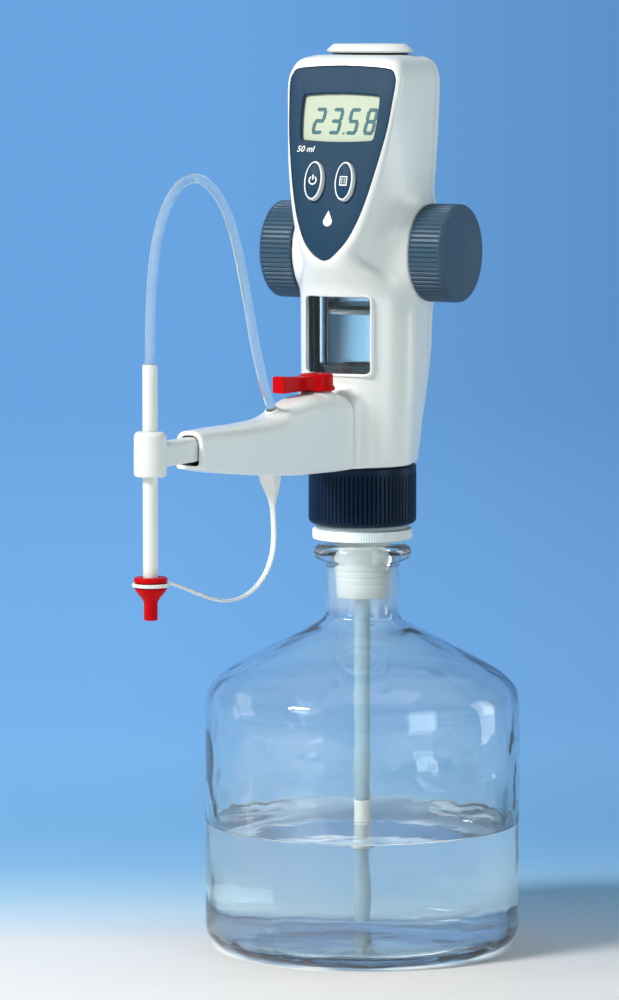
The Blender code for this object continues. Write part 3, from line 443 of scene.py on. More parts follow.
def fill(bm, angle):
    """Smooth faces, sharp where they turn by more than the angle."""
    mesh = bpy.data.meshes.new("mesh")
    bmesh.ops.recalc_face_normals(bm, faces=bm.faces)
    bmesh.ops.scale(bm, verts=bm.verts, vec=(MM, MM, MM))
    bm.to_mesh(mesh)
    bm.free()
    mesh.shade_smooth()
    mesh.set_sharp_from_angle(angle=radians(angle))
    return mesh


def piece(name, bm, material, angle=38):
    obj = bpy.data.objects.new(name, fill(bm, angle))
    bpy.context.scene.collection.objects.link(obj)
    obj.data.materials.append(MATERIALS[material])
    return obj


def applied(obj, angle=38):
    """Turns the object's modifiers into its mesh."""
    graph = bpy.context.evaluated_depsgraph_get()
    mesh = bpy.data.meshes.new_from_object(obj.evaluated_get(graph))
    obj.modifiers.clear()
    obj.data = mesh
    mesh.shade_smooth()
    mesh.set_sharp_from_angle(angle=radians(angle))
    return obj


def carved(obj, cutters, operation="DIFFERENCE", angle=38):
    """The object with each bmesh cut away, or joined on."""
    tools = []
    for bm in cutters:
        tool = bpy.data.objects.new("tool", fill(bm, angle))
        bpy.context.scene.collection.objects.link(tool)
        boolean = obj.modifiers.new("cut", "BOOLEAN")
        boolean.operation = operation
        boolean.solver = "MANIFOLD"
        boolean.object = tool
        tools.append(tool)
    applied(obj, angle)
    for tool in tools:
        bpy.data.objects.remove(tool)
    return obj


def softened(obj, voxel, rounds, angle=60):
    """The object remeshed and smoothed, so that pieces joined by a Boolean flow into each other."""
    remesh = obj.modifiers.new("remesh", "REMESH")
    remesh.mode = "VOXEL"
    remesh.voxel_size = voxel * MM
    smooth = obj.modifiers.new("smooth", "SMOOTH")
    smooth.factor = 0.5
    smooth.iterations = rounds
    return applied(obj, angle)


def stands_for(obj, node, *more):
    """Rides where a CAD node rides, and hides it and any others."""
    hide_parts(node, *more)
    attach(obj, NODES[node]["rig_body"])
    return obj


def part(name, node, bm, material, angle=38):
    """A new piece that stands for a CAD node."""
    return stands_for(piece(name, bm, material, angle), node)


def goes_with(obj, node):
    """Detail that rides where a CAD node rides."""
    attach(obj, NODES[node]["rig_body"])
    return obj


def eased(levels, at):
    """Values between levels whose first number is at, on a monotone cubic through them."""
    keys = [level[0] for level in levels]
    i = max(0, min(len(keys) - 2, sum(key <= at for key in keys) - 1))
    span = keys[i + 1] - keys[i]
    t = min(max((at - keys[i]) / span, 0), 1)
    result = []
    for k in range(1, len(levels[0])):
        def slope(j):
            return (levels[j + 1][k] - levels[j][k]) / (keys[j + 1] - keys[j])

        def tangent(j):
            if j == 0:
                return slope(0)
            if j == len(keys) - 1:
                return slope(j - 1)
            before, after = slope(j - 1), slope(j)
            return 0 if before * after <= 0 else 2 * before * after / (before + after)

        a, b = levels[i][k], levels[i + 1][k]
        result.append((2 * t ** 3 - 3 * t ** 2 + 1) * a + (t ** 3 - 2 * t ** 2 + t) * span * tangent(i)
                      + (3 * t ** 2 - 2 * t ** 3) * b + (t ** 3 - t ** 2) * span * tangent(i + 1))
    return result


def arc(centre, radius, start, end, steps):
    angles = [radians(start + (end - start) * i / steps) for i in range(steps + 1)]
    return [(centre[0] + radius * cos(a), centre[1] + radius * sin(a)) for a in angles]


def oval(centre, half, steps=48):
    return [(centre[0] + half[0] * cos(2 * pi * i / steps), centre[1] + half[1] * sin(2 * pi * i / steps))
            for i in range(steps)]


def filleted(corners, closed=False, steps=5):
    """A line of (a, b, cut), with each corner that has a cut rounded over that length of its two sides."""
    points = []
    for i, corner in enumerate(corners):
        here = Vector(corner[:2])
        cut = corner[2] if len(corner) > 2 else 0
        if cut == 0 or (not closed and i in (0, len(corners) - 1)):
            points.append(tuple(here))
            continue
        before = Vector(corners[i - 1][:2])
        after = Vector(corners[(i + 1) % len(corners)][:2])
        start = here + (before - here).normalized() * cut
        end = here + (after - here).normalized() * cut
        for k in range(steps + 1):
            t = k / steps
            points.append(tuple(start * (1 - t) ** 2 + here * 2 * t * (1 - t) + end * t ** 2))
    return points


def rounded(low, high, cut, top_cut=None):
    """A rectangle with rounded corners, the upper two by top_cut if given."""
    top_cut = top_cut or cut
    return filleted([(low[0], low[1], cut), (high[0], low[1], cut), (high[0], high[1], top_cut),
                     (low[0], high[1], top_cut)], closed=True)


def curved(points, steps, closed=False):
    """Points on a Catmull-Rom curve through points."""
    knots = [Vector(p) for p in points]
    if closed:
        ends = [knots[-1]] + knots + [knots[0], knots[1]]
    else:
        ends = [2 * knots[0] - knots[1]] + knots + [2 * knots[-1] - knots[-2]]
    result = [] if closed else [knots[0]]
    for a, b, c, d in zip(ends, ends[1:], ends[2:], ends[3:]):
        for i in range(1, steps + 1):
            t = i / steps
            bend = (2 * a - 5 * b + 4 * c - d) * t * t + (3 * b - a - 3 * c + d) * t * t * t
            result.append(b + ((c - a) * t + bend) / 2)
    return [tuple(p) for p in result]


def grown(outline, margin):
    """The outline with every side moved outwards by margin. Its points run counter-clockwise."""
    result = []
    for i, (x, y) in enumerate(outline):
        before = Vector((x, y)) - Vector(outline[i - 1])
        after = Vector(outline[(i + 1) % len(outline)]) - Vector((x, y))
        first = Vector((before.y, -before.x)).normalized()
        second = Vector((after.y, -after.x)).normalized()
        reach = (first + second) / (1 + first.dot(second))
        result.append((x + reach.x * margin, y + reach.y * margin))
    return result


def lathe(profile, steps=64, centre=(0, 0, 0), direction=(0, 0, 1), ribs=0, groove=0, ribbed=None,
          closed=True):
    """(radius, height) turned about an axis. Points whose height is in ribbed carry that many grooves."""
    turn = Vector((0, 0, 1)).rotation_difference(Vector(direction)).to_matrix()
    count = ribs * RIB_POINTS if ribs else steps
    loops = []
    for radius, height in profile:
        if radius < 1e-6:
            loops.append([Vector(centre) + turn @ Vector((0, 0, height))])
            continue
        row = []
        for i in range(count):
            r = radius
            if ribs and ribbed[0] <= height <= ribbed[1] and radius >= ribbed[2]:
                r -= groove * max(0, (cos(2 * pi * i / RIB_POINTS) - 0.1) / 0.9)
            a = 2 * pi * i / count
            row.append(Vector(centre) + turn @ Vector((r * cos(a), r * sin(a), height)))
        loops.append(row)
    on_axis = len(loops[0]) == 1 and len(loops[-1]) == 1
    return skin(loops, wrap=closed and not on_axis, caps=False)


def upright(x, y, z):
    return Vector((x, y, z))


def along_y(x, z, y):
    return Vector((x, y, z))


def stacked(place, levels):
    """A skin over (height, outline) levels, which place sets in space."""
    return skin([[place(a, b, height) for a, b in outline] for height, outline in levels])


def prism(outline, place, low, high):
    return stacked(place, ((low, outline), (high, outline)))


def box(low, high):
    outline = ((low[0], low[1]), (high[0], low[1]), (high[0], high[1]), (low[0], high[1]))
    return prism(outline, upright, low[2], high[2])


def on_panel(x, up, depth):
    return Vector(PANEL_TIP) + Vector((x, 0, 0)) + PANEL_UP * up + PANEL_IN * depth


def in_plane(route, steps=CORD_STEPS):
    """A smooth route in the plane x = 0, in millimetres."""
    return [Vector((0, y, z)) for y, z in curved(route, steps)]


def swept(route, half_x, half_in_plane, turns=24):
    """A solid oval run along a route in the plane x = 0."""
    loops = []
    for i, point in enumerate(route):
        ahead = (route[min(i + 1, len(route) - 1)] - route[max(i - 1, 0)]).normalized()
        across = Vector((0, -ahead.z, ahead.y))
        loops.append([point + Vector((half_x * cos(2 * pi * k / turns), 0, 0))
                      + across * half_in_plane * sin(2 * pi * k / turns) for k in range(turns)])
    return skin(loops)


# Camera and cords


def make_camera():
    right = Vector(ACROSS)
    ahead = Vector(AWAY) * cos(radians(CAMERA_PITCH)) - Vector((0, 0, sin(radians(CAMERA_PITCH))))
    turn = Matrix((right, right.cross(ahead), -ahead)).transposed().to_4x4()
    data = bpy.data.cameras.new("camera")
    data.lens = CAMERA_LENS
    data.sensor_width = SENSOR
    camera = bpy.data.objects.new("camera", data)
    camera.matrix_world = Matrix.Translation(CAMERA_PLACE) @ turn
    bpy.context.scene.collection.objects.link(camera)
    bpy.context.scene.camera = camera


def add_cord(name, route, half, material, nodes):
    """Tubing or strap that runs between two bodies, in one fixed shape. half is its half size along X and in
    its plane.
    """
    obj = piece(name, swept(route, *half), material)
    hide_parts(*nodes)
    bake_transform(obj)


def make_cords():
    hose = in_plane(HOSE_ROUTE)
    apex = HOSE_APEX * CORD_STEPS
    round_tube = (HOSE_RADIUS, HOSE_RADIUS)
    add_cord("hose_from_arm", hose[:apex + 1], round_tube, "clear_tubing",
             ["hose_arm_side"])
    add_cord("hose_to_tube", hose[apex:], round_tube, "clear_tubing",
             ["hose_tube_side"])
    strap = in_plane(STRAP_ROUTE)
    first, second = (cut * CORD_STEPS for cut in STRAP_CUTS)
    add_cord("strap_from_arm", strap[:first + 1], STRAP_HALF, "white_plastic",
             ["strap_arm_side"])
    add_cord("strap_middle", strap[first:second + 1], STRAP_HALF, "white_plastic",
             [])
    add_cord("strap_to_cap", strap[second:], STRAP_HALF, "white_plastic",
             ["strap_cap_side"])


# Bottle and what goes into it


def bottle_inside():
    low = [(0, 11.2), (20, 10.7), (40, 9), (58, 7.3), (69, 6.9), (73.5, 8.2), (76.2, 11), (77.5, 16)]
    shoulder = [(77.5, 121), (76.9, 127), (75.2, 131.4), (69.8, 136.8), (60.4, 142.6), (48.6, 148.8),
                (30.2, 158.2), (19, 163.6), (14.6, 169), (13.3, 176), (14.3, 196), (14.9, 206.3)]
    return curved(low, 5) + [(77.5, z) for z in range(26, 120, 8)] + curved(shoulder, 5)


def make_bottle():
    base = curved([(0, 6.2), (20, 5.6), (38, 3.6), (52, 1.4), (62, 0.2), (66, 0), (69.5, 0)],
                  4) + arc((69.5, 11), 11, -80, 0, 8)
    shoulder = [(80.5, 121), (80, 128), (78.2, 133.2), (72, 139.4), (62, 145.4), (50, 151.6), (31.6, 161.4),
                (22.5, 166.4), (19.2, 169.4), (18.6, 174), (18.6, 190), (18.9, 195.4), (21, 197.6),
                (23.8, 199.2), (25, 202.1), (23.9, 205.2), (21.2, 206.6), (17.6, 206.6)]
    outside = base + [(80.5, z) for z in range(20, 120, 8)] + curved(shoulder, 5)
    part("bottle", "reservoir_bottle", lathe(outside + bottle_inside()[::-1], 160), "bottle_glass", 60)


def make_liquid():
    overlap = 0.12
    wall = [(max(0, r + (overlap if r > 0 else 0)), z - overlap) for r, z in bottle_inside()
            if z < LIQUID_LEVEL - 1]
    top_r = 77.5 + overlap
    top = [(top_r, LIQUID_LEVEL), (top_r, LIQUID_LEVEL + 1.1), (top_r - 0.7, LIQUID_LEVEL + 0.4),
           (top_r - 1.9, LIQUID_LEVEL + 0.1), (top_r - 4, LIQUID_LEVEL), (0, LIQUID_LEVEL)]
    liquid = piece("liquid", lathe(wall + top, 160), "liquid", 60)
    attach(liquid, "burette")


def make_adapter():
    rings = []
    for z in (186.4, 189.8, 193.2):
        r = 13 + (z - 179.5) * 0.058
        rings += [(r + 0.05, z - 0.7), (r - 0.5, z - 0.35), (r - 0.5, z + 0.35), (r + 0.05, z + 0.7)]
    profile = [(8.5, 179.5), (12.6, 179.5), (12.95, 179.9)] + rings
    profile += [(14.55, 206.6), (14.3, 207.6), (14.3, 209.3), (24.6, 209.3), (25.3, 209.6), (25.5, 210.3),
                (25.5, 213.8), (25.2, 214.5), (24.5, 214.7), (22.2, 214.7), (21.9, 215), (21.9, 232),
                (8.5, 232)]
    bm = lathe(profile, ribs=FLANGE_RIBS, groove=0.22, ribbed=(210, 214, 25))
    part("cone_adapter", "ground_joint_adapter", bm, "milky_plastic")
    ring = filleted([(22.3, 215), (24, 215, 0.5), (24, 217, 0.5), (22.3, 217)])
    part("adapter_ring", "adapter_seal_ring", lathe(ring), "seal_grey")


def make_nut():
    profile = [(22.3, 217.3), (25.4, 217.3), (26.3, 217.6), (26.9, 218.2), (27.3, 219), (27.5, 219.8),
               (27.5, 221)]
    profile += [(27.5, z) for z in (226, 232, 238)] + [(27.5, 243), (27.45, 243.4), (27.45, 246.6),
                                                       (27, 247.2), (26.2, 247.5), (18.2, 247.5), (18.2, 240),
                                                       (22.3, 240)]
    bm = lathe(profile, ribs=NUT_RIBS, groove=0.75, ribbed=(219.5, 243.1, 27.4))
    part("nut_ribbed", "union_nut", bm, "nut_plastic", 30)


def make_filling_tubes():
    for name, node, low, high, radius, bore, material in (
            ("feed_tube_upper", "filling_tube_upper", 75.3, 242.6, 4.1, 3.5, "feed_tubing"),
            ("feed_tube_sleeve", "filling_tube_sleeve", 52, 75, 4.6, 3.5, "white_plastic"),
            ("feed_tube_lower", "filling_tube_lower", 15, 98, 3.2, 2.2, "feed_tubing")):
        profile = [(bore, low), (radius - 0.3, low), (radius, low + 0.4)]
        profile += [(radius, low + (high - low) * i / 8) for i in range(1, 8)]
        profile += [(radius, high - 0.4), (radius - 0.3, high), (bore, high)]
        stands_for(piece(name, lathe(profile, 40), material), node)


# Barrel and drive


def make_barrel():
    profile = filleted([(18.15, 296.8), (20.3, 296.8, 0.4), (20.3, 350.4, 0.6), (18.15, 350.4, 0.6)])
    part("barrel_tube", "glass_barrel", lathe(profile, 96), "barrel_glass")
    seal = [(0, 324.9), (15.8, 324.9), (17, 324.5), (17.6, 324.7), (17.85, 325.2), (17.85, 325.7),
            (17.5, 325.9), (17.5, 326.1), (17.85, 326.3), (17.85, 327), (17.6, 327.1), (0, 327.1)]
    part("piston_lips", "piston_seal", lathe(seal, 72), "white_plastic")
    # The plate behind the barrel is painted pale blue, standing in for the light seen through the barrel
    plate = arc((0, 0), 21.8, -18, 198, 48) + arc((0, 0), 20.8, 198, -18, 48)
    part("barrel_back", "barrel_cradle", prism(plate, upright, 299, 340.6), "barrel_back_painted_light")


def make_handwheels():
    rim = [(21.6, 33.75), (24.1, 33.75), (24.6, 34), (24.8, 34.6), (24.8, 35.2)]
    rim += [(24.8, h) for h in (39, 43, 47)] + [(24.8, 49.6), (24.78, 50.1), (24.6, 50.8), (24.2, 51.35),
                                                (23.6, 51.6), (22.8, 51.65), (21.6, 51.5), (0, 51.5)]
    inside = [(0, 47.3), (2.8, 47.3), (2.8, 33.75), (6.5, 33.75), (6.5, 48), (21.6, 48)]
    for name, node, side in (("wheel_left", "handwheel_left", -1), ("wheel_right", "handwheel_right", 1)):
        bm = lathe(inside + rim, centre=(0, SHAFT_Y, SHAFT_Z), direction=(side, 0, 0), ribs=WHEEL_RIBS,
                   groove=0.7, ribbed=(34.5, 49.7, 24.7))
        stands_for(piece(name, bm, "wheel_plastic", 30), node)


# Housing


def housing_section(z, side_wall=0, front_wall=0, back_wall=0, fine=1):
    """One level, as points from the front's middle round to the right, the back and the left."""
    front_y, front_half, corner, seam_half, back_half, back_y, bow = eased(HOUSING_LEVELS, z)
    front_y += front_wall
    back_y -= back_wall
    corner = max(corner - side_wall, 1)
    front_half, seam_half, back_half = front_half - side_wall, seam_half - side_wall, back_half - side_wall
    steps = 8 * fine
    half = [((front_half - corner) * i / steps, front_y) for i in range(steps)]
    half += arc((front_half - corner, front_y + corner), corner, -90, 0, 8 * fine)
    start, seam_y = half[-1], min(SEAM_Y, back_y - 4)
    steps = 14 * fine
    for i in range(1, steps + 1):
        t = i / steps
        half.append((start[0] + (seam_half - start[0]) * t + bow * 4 * t * (1 - t), start[1]
                     + (seam_y - start[1]) * t))
    steps = 2 * fine
    for i in range(1, steps):
        t = i / steps
        half.append((seam_half + (back_half - seam_half) * t, seam_y + (back_y - 3 - seam_y) * t))
    half += arc((back_half - 3, back_y - 3), 3, 0, 90, 4 * fine)
    steps = 4 * fine
    half += [((back_half - 3) * (1 - i / steps), back_y) for i in range(1, steps + 1)]
    return half + [(-x, y) for x, y in half[-2:0:-1]]


def flare(distance, reach):
    """1 inside, and a hollow fillet down to 0 at this reach."""
    return (1 - min(max(distance / reach, 0), 1)) ** 2.2


def swelled(x, y, z, is_back):
    """The point moved out onto the feet of the handwheels and of the arm."""
    if not is_back:
        share = flare(hypot(y - SHAFT_Y, z - SHAFT_Z) - BOSS_RADIUS, BOSS_FLARE)
        x += (BOSS_X - abs(x)) * share * (1 if x > 0 else -1)
    if y < -18:
        corner = 6
        dx = abs(x) - COLLAR_HALF + corner
        dz = max(z - COLLAR_TOP + corner, 0)
        outside = hypot(max(dx, 0), dz) - corner
        share = flare(outside, COLLAR_FLARE)
        y += (COLLAR_Y - y) * share if y > COLLAR_Y else 0
    return Vector((x, y, z))


def housing_outside():
    low, high = HOUSING_LEVELS[0][0], HOUSING_LEVELS[-1][0]
    count = round((high - low) / LEVEL_STEP)
    heights = [low + (high - low) * i / count for i in range(count + 1)]
    heights = heights[:-2] + [high - 2.2, high - 1.4, high - 0.7, high - 0.25, high]
    loops = []
    for z in heights:
        section = housing_section(z, fine=2)
        back = max(y for _, y in section)
        loops.append([swelled(x, y, z, y > back - 0.05) for x, y in section])
    return skin(loops)


def housing_hollow():
    loops = []
    low = HOUSING_LEVELS[0][0]
    heights = [low + 5 * i for i in range(40) if low + 5 * i < 444] + [446.5]
    for i, z in enumerate(heights):
        front = FRONT_WALL if z > 350 else SIDE_WALL
        section = housing_section(z, SIDE_WALL, front, BACK_WALL)
        loops.append([Vector((x, y, z - (5 if i == 0 else 0))) for x, y in section])
    return skin(loops)


def panel_outline():
    right = curved([(half, up) for up, half in PANEL_EDGE], 4)
    return right + [(-x, up) for x, up in right[-2:0:-1]]


def lcd_outline():
    """Counter-clockwise, with every side bowed out a little and the corners rounded."""
    sides = (((-1, 0), (1, 0), (0, -0.04)), ((1, 0), (1, 1), (0.03, 0)), ((1, 1), (-1, 1), (0, 0.05)),
             ((-1, 1), (-1, 0), (-0.03, 0)))
    steps = 8
    corners = []
    for start, end, bow in sides:
        for i in range(steps):
            t = i / steps
            x, up = (a + (b - a) * t + c * 4 * t * (1 - t) for a, b, c in zip(start, end, bow))
            half = LCD_LOW_HALF + (LCD_HIGH_HALF - LCD_LOW_HALF) * up
            corners.append((x * half, LCD_LOW + (LCD_HIGH - LCD_LOW) * up, 0 if i else 1.6))
    return filleted(corners, closed=True, steps=4)


def window_outline(margin=0):
    half, low, high = WINDOW_HALF - margin, WINDOW_LOW + margin, WINDOW_HIGH - margin
    edge = [(-half, low, 3)] + [(half * i / 6, low) for i in range(-4, 5)] + [(half, low, 3)]
    edge += [(half, high, 3)] + [(-half * i / 6, high) for i in range(-4, 5)] + [(-half, high, 3)]
    return filleted(edge, closed=True, steps=4)


def on_front(x, z, depth):
    """A point this deep behind the window, which is a little flatter than the housing round it."""
    return Vector((x, WINDOW_Y + WINDOW_CURVE - sqrt(WINDOW_CURVE ** 2 - x * x) + depth, z))


def make_housing():
    front = softened(piece("shell_front", housing_outside(), "white_housing"), 0.9, 12)
    hole = lathe([(0, -40), (5.3, -40), (5.3, 40), (0, 40)], 32, (0, SHAFT_Y, SHAFT_Z), (1, 0, 0))
    carved(front, [housing_hollow(), hole])
    rear = front.copy()
    rear.data = front.data.copy()
    rear.name = "shell_rear"
    bpy.context.scene.collection.objects.link(rear)
    outline = panel_outline()
    cuts = [box((-60, SEAM_Y - SEAM_GAP / 2, 200), (60, 60, 500)), prism(grown(outline, 0.35), on_panel, -4,
                                                                         PANEL_THICKNESS + 0.3),
                                                                         prism(grown(lcd_outline(), 2.4),
                                                                               on_panel, 0.5, 10),
                                                                               prism(window_outline(),
                                                                                     along_y, -40, -15),
                                                                                     box((-10, -40, 252.6),
                                                                                         (10, -20, 282.4))]
    for x in KEY_CENTRES.values():
        cuts.append(prism(oval((x, KEY_HEIGHT), (KEY_HALF[0] + 0.5, KEY_HALF[1] + 0.5)), on_panel, 0.5, 10))
    stands_for(carved(front, cuts), "housing_front")
    opening = rounded((-21, 394), (21, 446), 3)
    cuts = [box((-60, -60, 200), (60, SEAM_Y + SEAM_GAP / 2, 500)), prism(opening, along_y, 15, 30)]
    for x, z, seat in SCREWS:
        cuts.append(lathe([(0, 14), (1.8, 14), (1.8, seat), (3.3, seat), (3.3, 30), (0, 30)], 32, (x, 0, z),
                          (0, 1, 0)))
    stands_for(carved(rear, cuts), "housing_rear")


def make_rear_fittings():
    plate = rounded((-20.6, 394.4), (20.6, 445.6), 3)
    levels = [(y, grown(plate, margin)) for y, margin in ((22.1, 0), (23.5, 0), (23.9, -0.5))]
    cover = piece("battery_lid", stacked(along_y, levels), "white_housing")
    grips = []
    for i in range(5):
        z = 436 - 2.2 * i
        grips.append(prism(rounded((-7, z - 0.5), (7, z + 0.5), 0.4), along_y, 23.4, 25))
    arrow = [(-3, 423), (0, 418.5), (3, 423)]
    grips.append(prism(arrow, along_y, 23.5, 25))
    stands_for(carved(cover, grips), "battery_cover")
    for number, (x, z, seat) in enumerate(SCREWS, 1):
        y = seat + 0.3
        head = [(0, y - 3), (1.5, y - 3), (1.5, y), (2.8, y), (2.8, y + 0.5), (2.4, y + 1), (1.6, y + 1.2),
                (0, y + 1.2)]
        screw = piece(f"screw_head_{number}", lathe(head, 32, (x, 0, z), (0, 1, 0)), "steel")
        cross = [prism([(x - a, z - b), (x + a, z - b), (x + a, z + b), (x - a, z + b)], along_y, y + 0.4, y
                       + 2) for a, b in ((1.3, 0.3), (0.3, 1.3))]
        goes_with(carved(screw, cross), f"housing_screw_{number}")
        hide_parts(f"housing_screw_{number}")


def top_stack(half, levels, steps=64):
    """Ovals about the top's middle, from (z, how much smaller) levels."""
    return stacked(upright, [(z, oval(TOP_CENTRE, (half[0] - m, half[1] - m), steps)) for z, m in levels])


def make_top():
    levels = ((456.1, 1.1), (456.6, 0.3), (457, 0), (457.4, 0.15), (458.5, 1.3), (459.9, 2.9), (460.3, 3.5),
              (460.5, 4.3))
    cap = piece("top_button", top_stack((23.5, 14.8), levels, 72), "white_plastic")
    stands_for(carved(cap, [prism(oval(TOP_CENTRE, (11, 5.6)), upright, 459.3, 462)]), "top_cap")
    inlay = top_stack((10.7, 5.3), ((459.6, 0), (460.2, 0), (460.4, 0.3)))
    part("top_badge_blank", "top_inlay", inlay, "white_housing")
    gasket = top_stack((21, 12.8), ((455.2, 0.2), (455.55, 0), (455.95, 0.2)))
    part("top_gap_ring", "cap_gasket", gasket, "dark_plastic")


# Display


DIGITS = {"2": "abdeg", "3": "abcdg", "5": "acdfg", "8": "abcdefg"}


def segment(letter, half, height):
    """A seven-segment bar, as (x, up) in a digit that starts at up 0."""
    middle, thick, slit = height / 2, 0.95, 0.18
    level = {"a": height - thick, "g": middle, "d": thick}
    if letter in level:
        up, reach = level[letter], half - thick - slit
        return [(-reach - thick * 0.7, up), (-reach, up - thick), (reach, up - thick),
                (reach + thick * 0.7, up), (reach, up + thick), (-reach, up + thick)]
    x = (half - thick) * (1 if letter in "bc" else -1)
    low, high = (middle, height - thick) if letter in "bf" else (thick, middle)
    low, high = low + slit + thick * 0.4, high - slit - thick * 0.4
    return [(x, low - thick * 0.5), (x + thick, low + thick * 0.4), (x + thick, high - thick * 0.4),
            (x, high + thick * 0.5), (x - thick, high - thick * 0.4), (x - thick, low + thick * 0.4)]


def joined(outlines, place, low, high):
    bm = bmesh.new()
    for outline in outlines:
        rows = [[bm.verts.new(place(a, b, height)) for a, b in outline] for height in (low, high)]
        for i in range(len(outline)):
            j = (i + 1) % len(outline)
            bm.faces.new((rows[0][i], rows[0][j], rows[1][j], rows[1][i]))
        bm.faces.new(rows[0][::-1])
        bm.faces.new(rows[1])
    return bm


def panel_stack(outline, levels):
    """The outline in the panel's plane, at (depth, how much larger) levels."""
    return stacked(on_panel, [(depth, grown(outline, margin)) for depth, margin in levels])


def make_display():
    levels = ((PANEL_THICKNESS, 0), (0.6, 0), (0.15, -0.25), (0, -0.75))
    panel = piece("panel_face", panel_stack(panel_outline(), levels), "navy_plastic")
    cuts = [panel_stack(lcd_outline(), ((-1.5, 1.6), (0, 0.5), (0.55, 0), (4, 0)))]
    for x in KEY_CENTRES.values():
        cuts.append(prism(oval((x, KEY_HEIGHT), (KEY_HALF[0] + 0.4, KEY_HALF[1] + 0.4), 64), on_panel, -2, 4))
    stands_for(carved(panel, cuts), "display_panel")
    screen = panel_stack(lcd_outline(), ((6.1, 1.9), (LCD_DEPTH, 1.9)))
    part("lcd_screen", "lcd_module", screen, "lcd_glass")
    make_digits()
    for name, x in KEY_CENTRES.items():
        make_key(name, (x, KEY_HEIGHT))
    make_markings()


def make_digits():
    lean, base, height, half, pitch = 0.14, 64.3, 13.7, 3.2, 9.7
    outlines = []
    for place, digit in enumerate("2358"):
        centre = -12.9 + pitch * place
        for letter in DIGITS[digit]:
            outlines.append([(centre + x + up * lean, base + up) for x, up in segment(letter, half, height)])
    outlines.append([(x + 1.9, up + base + 0.1) for x, up in ((0, 0), (1.1, 0), (1.2, 1.1), (0.1, 1.1))])
    digits = joined(outlines, on_panel, LCD_DEPTH - 0.06, LCD_DEPTH + 0.05)
    goes_with(piece("lcd_digits", digits, "segment"), "lcd_module")


def make_key(node, centre):
    half = KEY_HALF
    body = [(KEY_BOTTOM, 0), (-KEY_PROUD + 1.5, 0), (-KEY_PROUD + 0.9, 0.12), (-KEY_PROUD + 0.5, 0.4)]
    rows = [[on_panel(a, b, d) for a, b in oval(centre, (half[0] - m, half[1] - m), 64)] for d, m in body]
    stands_for(piece(f"{node}_rim", skin(rows), "marking"), node)
    face = [(-KEY_PROUD + 0.9, 1), (-KEY_PROUD + 0.35, 1.05), (-KEY_PROUD + 0.2, 1.4)]
    rows = [[on_panel(a, b, d) for a, b in oval(centre, (half[0] - m, half[1] - m), 64)] for d, m in face]
    goes_with(piece(f"{node}_face", skin(rows), "navy_plastic"), node)
    top = -KEY_PROUD + 0.12
    if node == "power_key":
        outer = arc(centre, 2.3, 120, 420, 28)
        outlines = [outer + arc(centre, 1.65, 420, 120, 28)]
        outlines.append([(centre[0] + x, centre[1] + y) for x, y in ((-0.33, 0.3), (0.33, 0.3), (0.33, 2.9),
                                                                     (-0.33, 2.9))])
    else:
        outlines = []
        for x, y, w, h in ((-2.1, -2.4, 4.2, 0.55), (-2.1, 1.85, 4.2, 0.55), (-2.1, -1.8, 0.55, 3.6),
                           (1.55, -1.8, 0.55, 3.6), (-1.1, -0.25, 0.7, 0.5), (0.3, -0.25, 0.7, 0.5),
                           (-1.1, 0.7, 0.7, 0.5), (0.3, 0.7, 0.7, 0.5), (-1.1, -1.2, 0.7, 0.5),
                           (0.3, -1.2, 0.7, 0.5)):
            x, y = x + centre[0], y + centre[1]
            outlines.append([(x, y), (x + w, y), (x + w, y + h), (x, y + h)])
    goes_with(piece(f"{node}_sign", joined(outlines, on_panel, top, top + 0.5), "marking"), node)


def make_markings():
    """The volume on the panel, and a plain drop."""
    curve = bpy.data.curves.new("volume", "FONT")
    curve.body = "50 ml"
    curve.size = 4.3
    curve.shear = 0.25
    curve.extrude = 0.05
    curve.offset = 0.06
    curve.resolution_u = 3
    text = bpy.data.objects.new("volume_marking", curve)
    bpy.context.scene.collection.objects.link(text)
    bpy.context.view_layer.update()
    graph = bpy.context.evaluated_depsgraph_get()
    mesh = bpy.data.meshes.new_from_object(text.evaluated_get(graph))
    bpy.data.objects.remove(text)
    bm = bmesh.new()
    bm.from_mesh(mesh)
    for vert in bm.verts:
        vert.co = on_panel(-21.9 + vert.co.x, 54.9 + vert.co.y, -vert.co.z)
    goes_with(piece("volume_marking", bm, "marking"), "display_panel")
    drop = [(0, 25.2)] + arc((0, 19.6), 2.5, 35, -215, 24)
    goes_with(piece("drop_marking", joined([drop], on_panel, -0.05, 0.05), "marking"), "display_panel")


def make_window():
    edge = window_outline()
    rows = []
    for margin, depth in ((1.1, 1.6), (1, 0.2), (0.6, -0.15), (0.1, -0.1), (-0.2, 0.2), (-0.5, 1), (-0.5, 3),
                          (0.2, 3)):
        rows.append([on_front(x, z, depth) for x, z in grown(edge, margin)])
    goes_with(piece("window_bezel", skin(rows, wrap=True), "white_housing"), "housing_front")
    # A dark strip inside the housing at the window's left edge: painted shade, where the inner wall lies in
    # shadow
    shade = arc((0, 0), 25.4, 172, 226, 24) + arc((0, 0), 26, 226, 172, 24)
    goes_with(piece("window_painted_shade", prism(shade, upright, 291, 337), "dark_plastic"), "housing_front")
    strips = 20
    columns = []
    half = max(x for x, _ in grown(edge, -0.5))
    for i in range(strips + 1):
        x = -half + 2 * half * i / strips
        drop = 2 if i in (0, strips) else 0
        low, high = WINDOW_LOW + 0.5 + drop, WINDOW_HIGH - 0.5 - drop
        columns.append([on_front(x, low, 0.8), on_front(x, high, 0.8), on_front(x, high, 2.2),
                        on_front(x, low, 2.2)])
    part("window_pane", "inspection_window", skin(columns), "window_plastic")


# Arm and what it carries


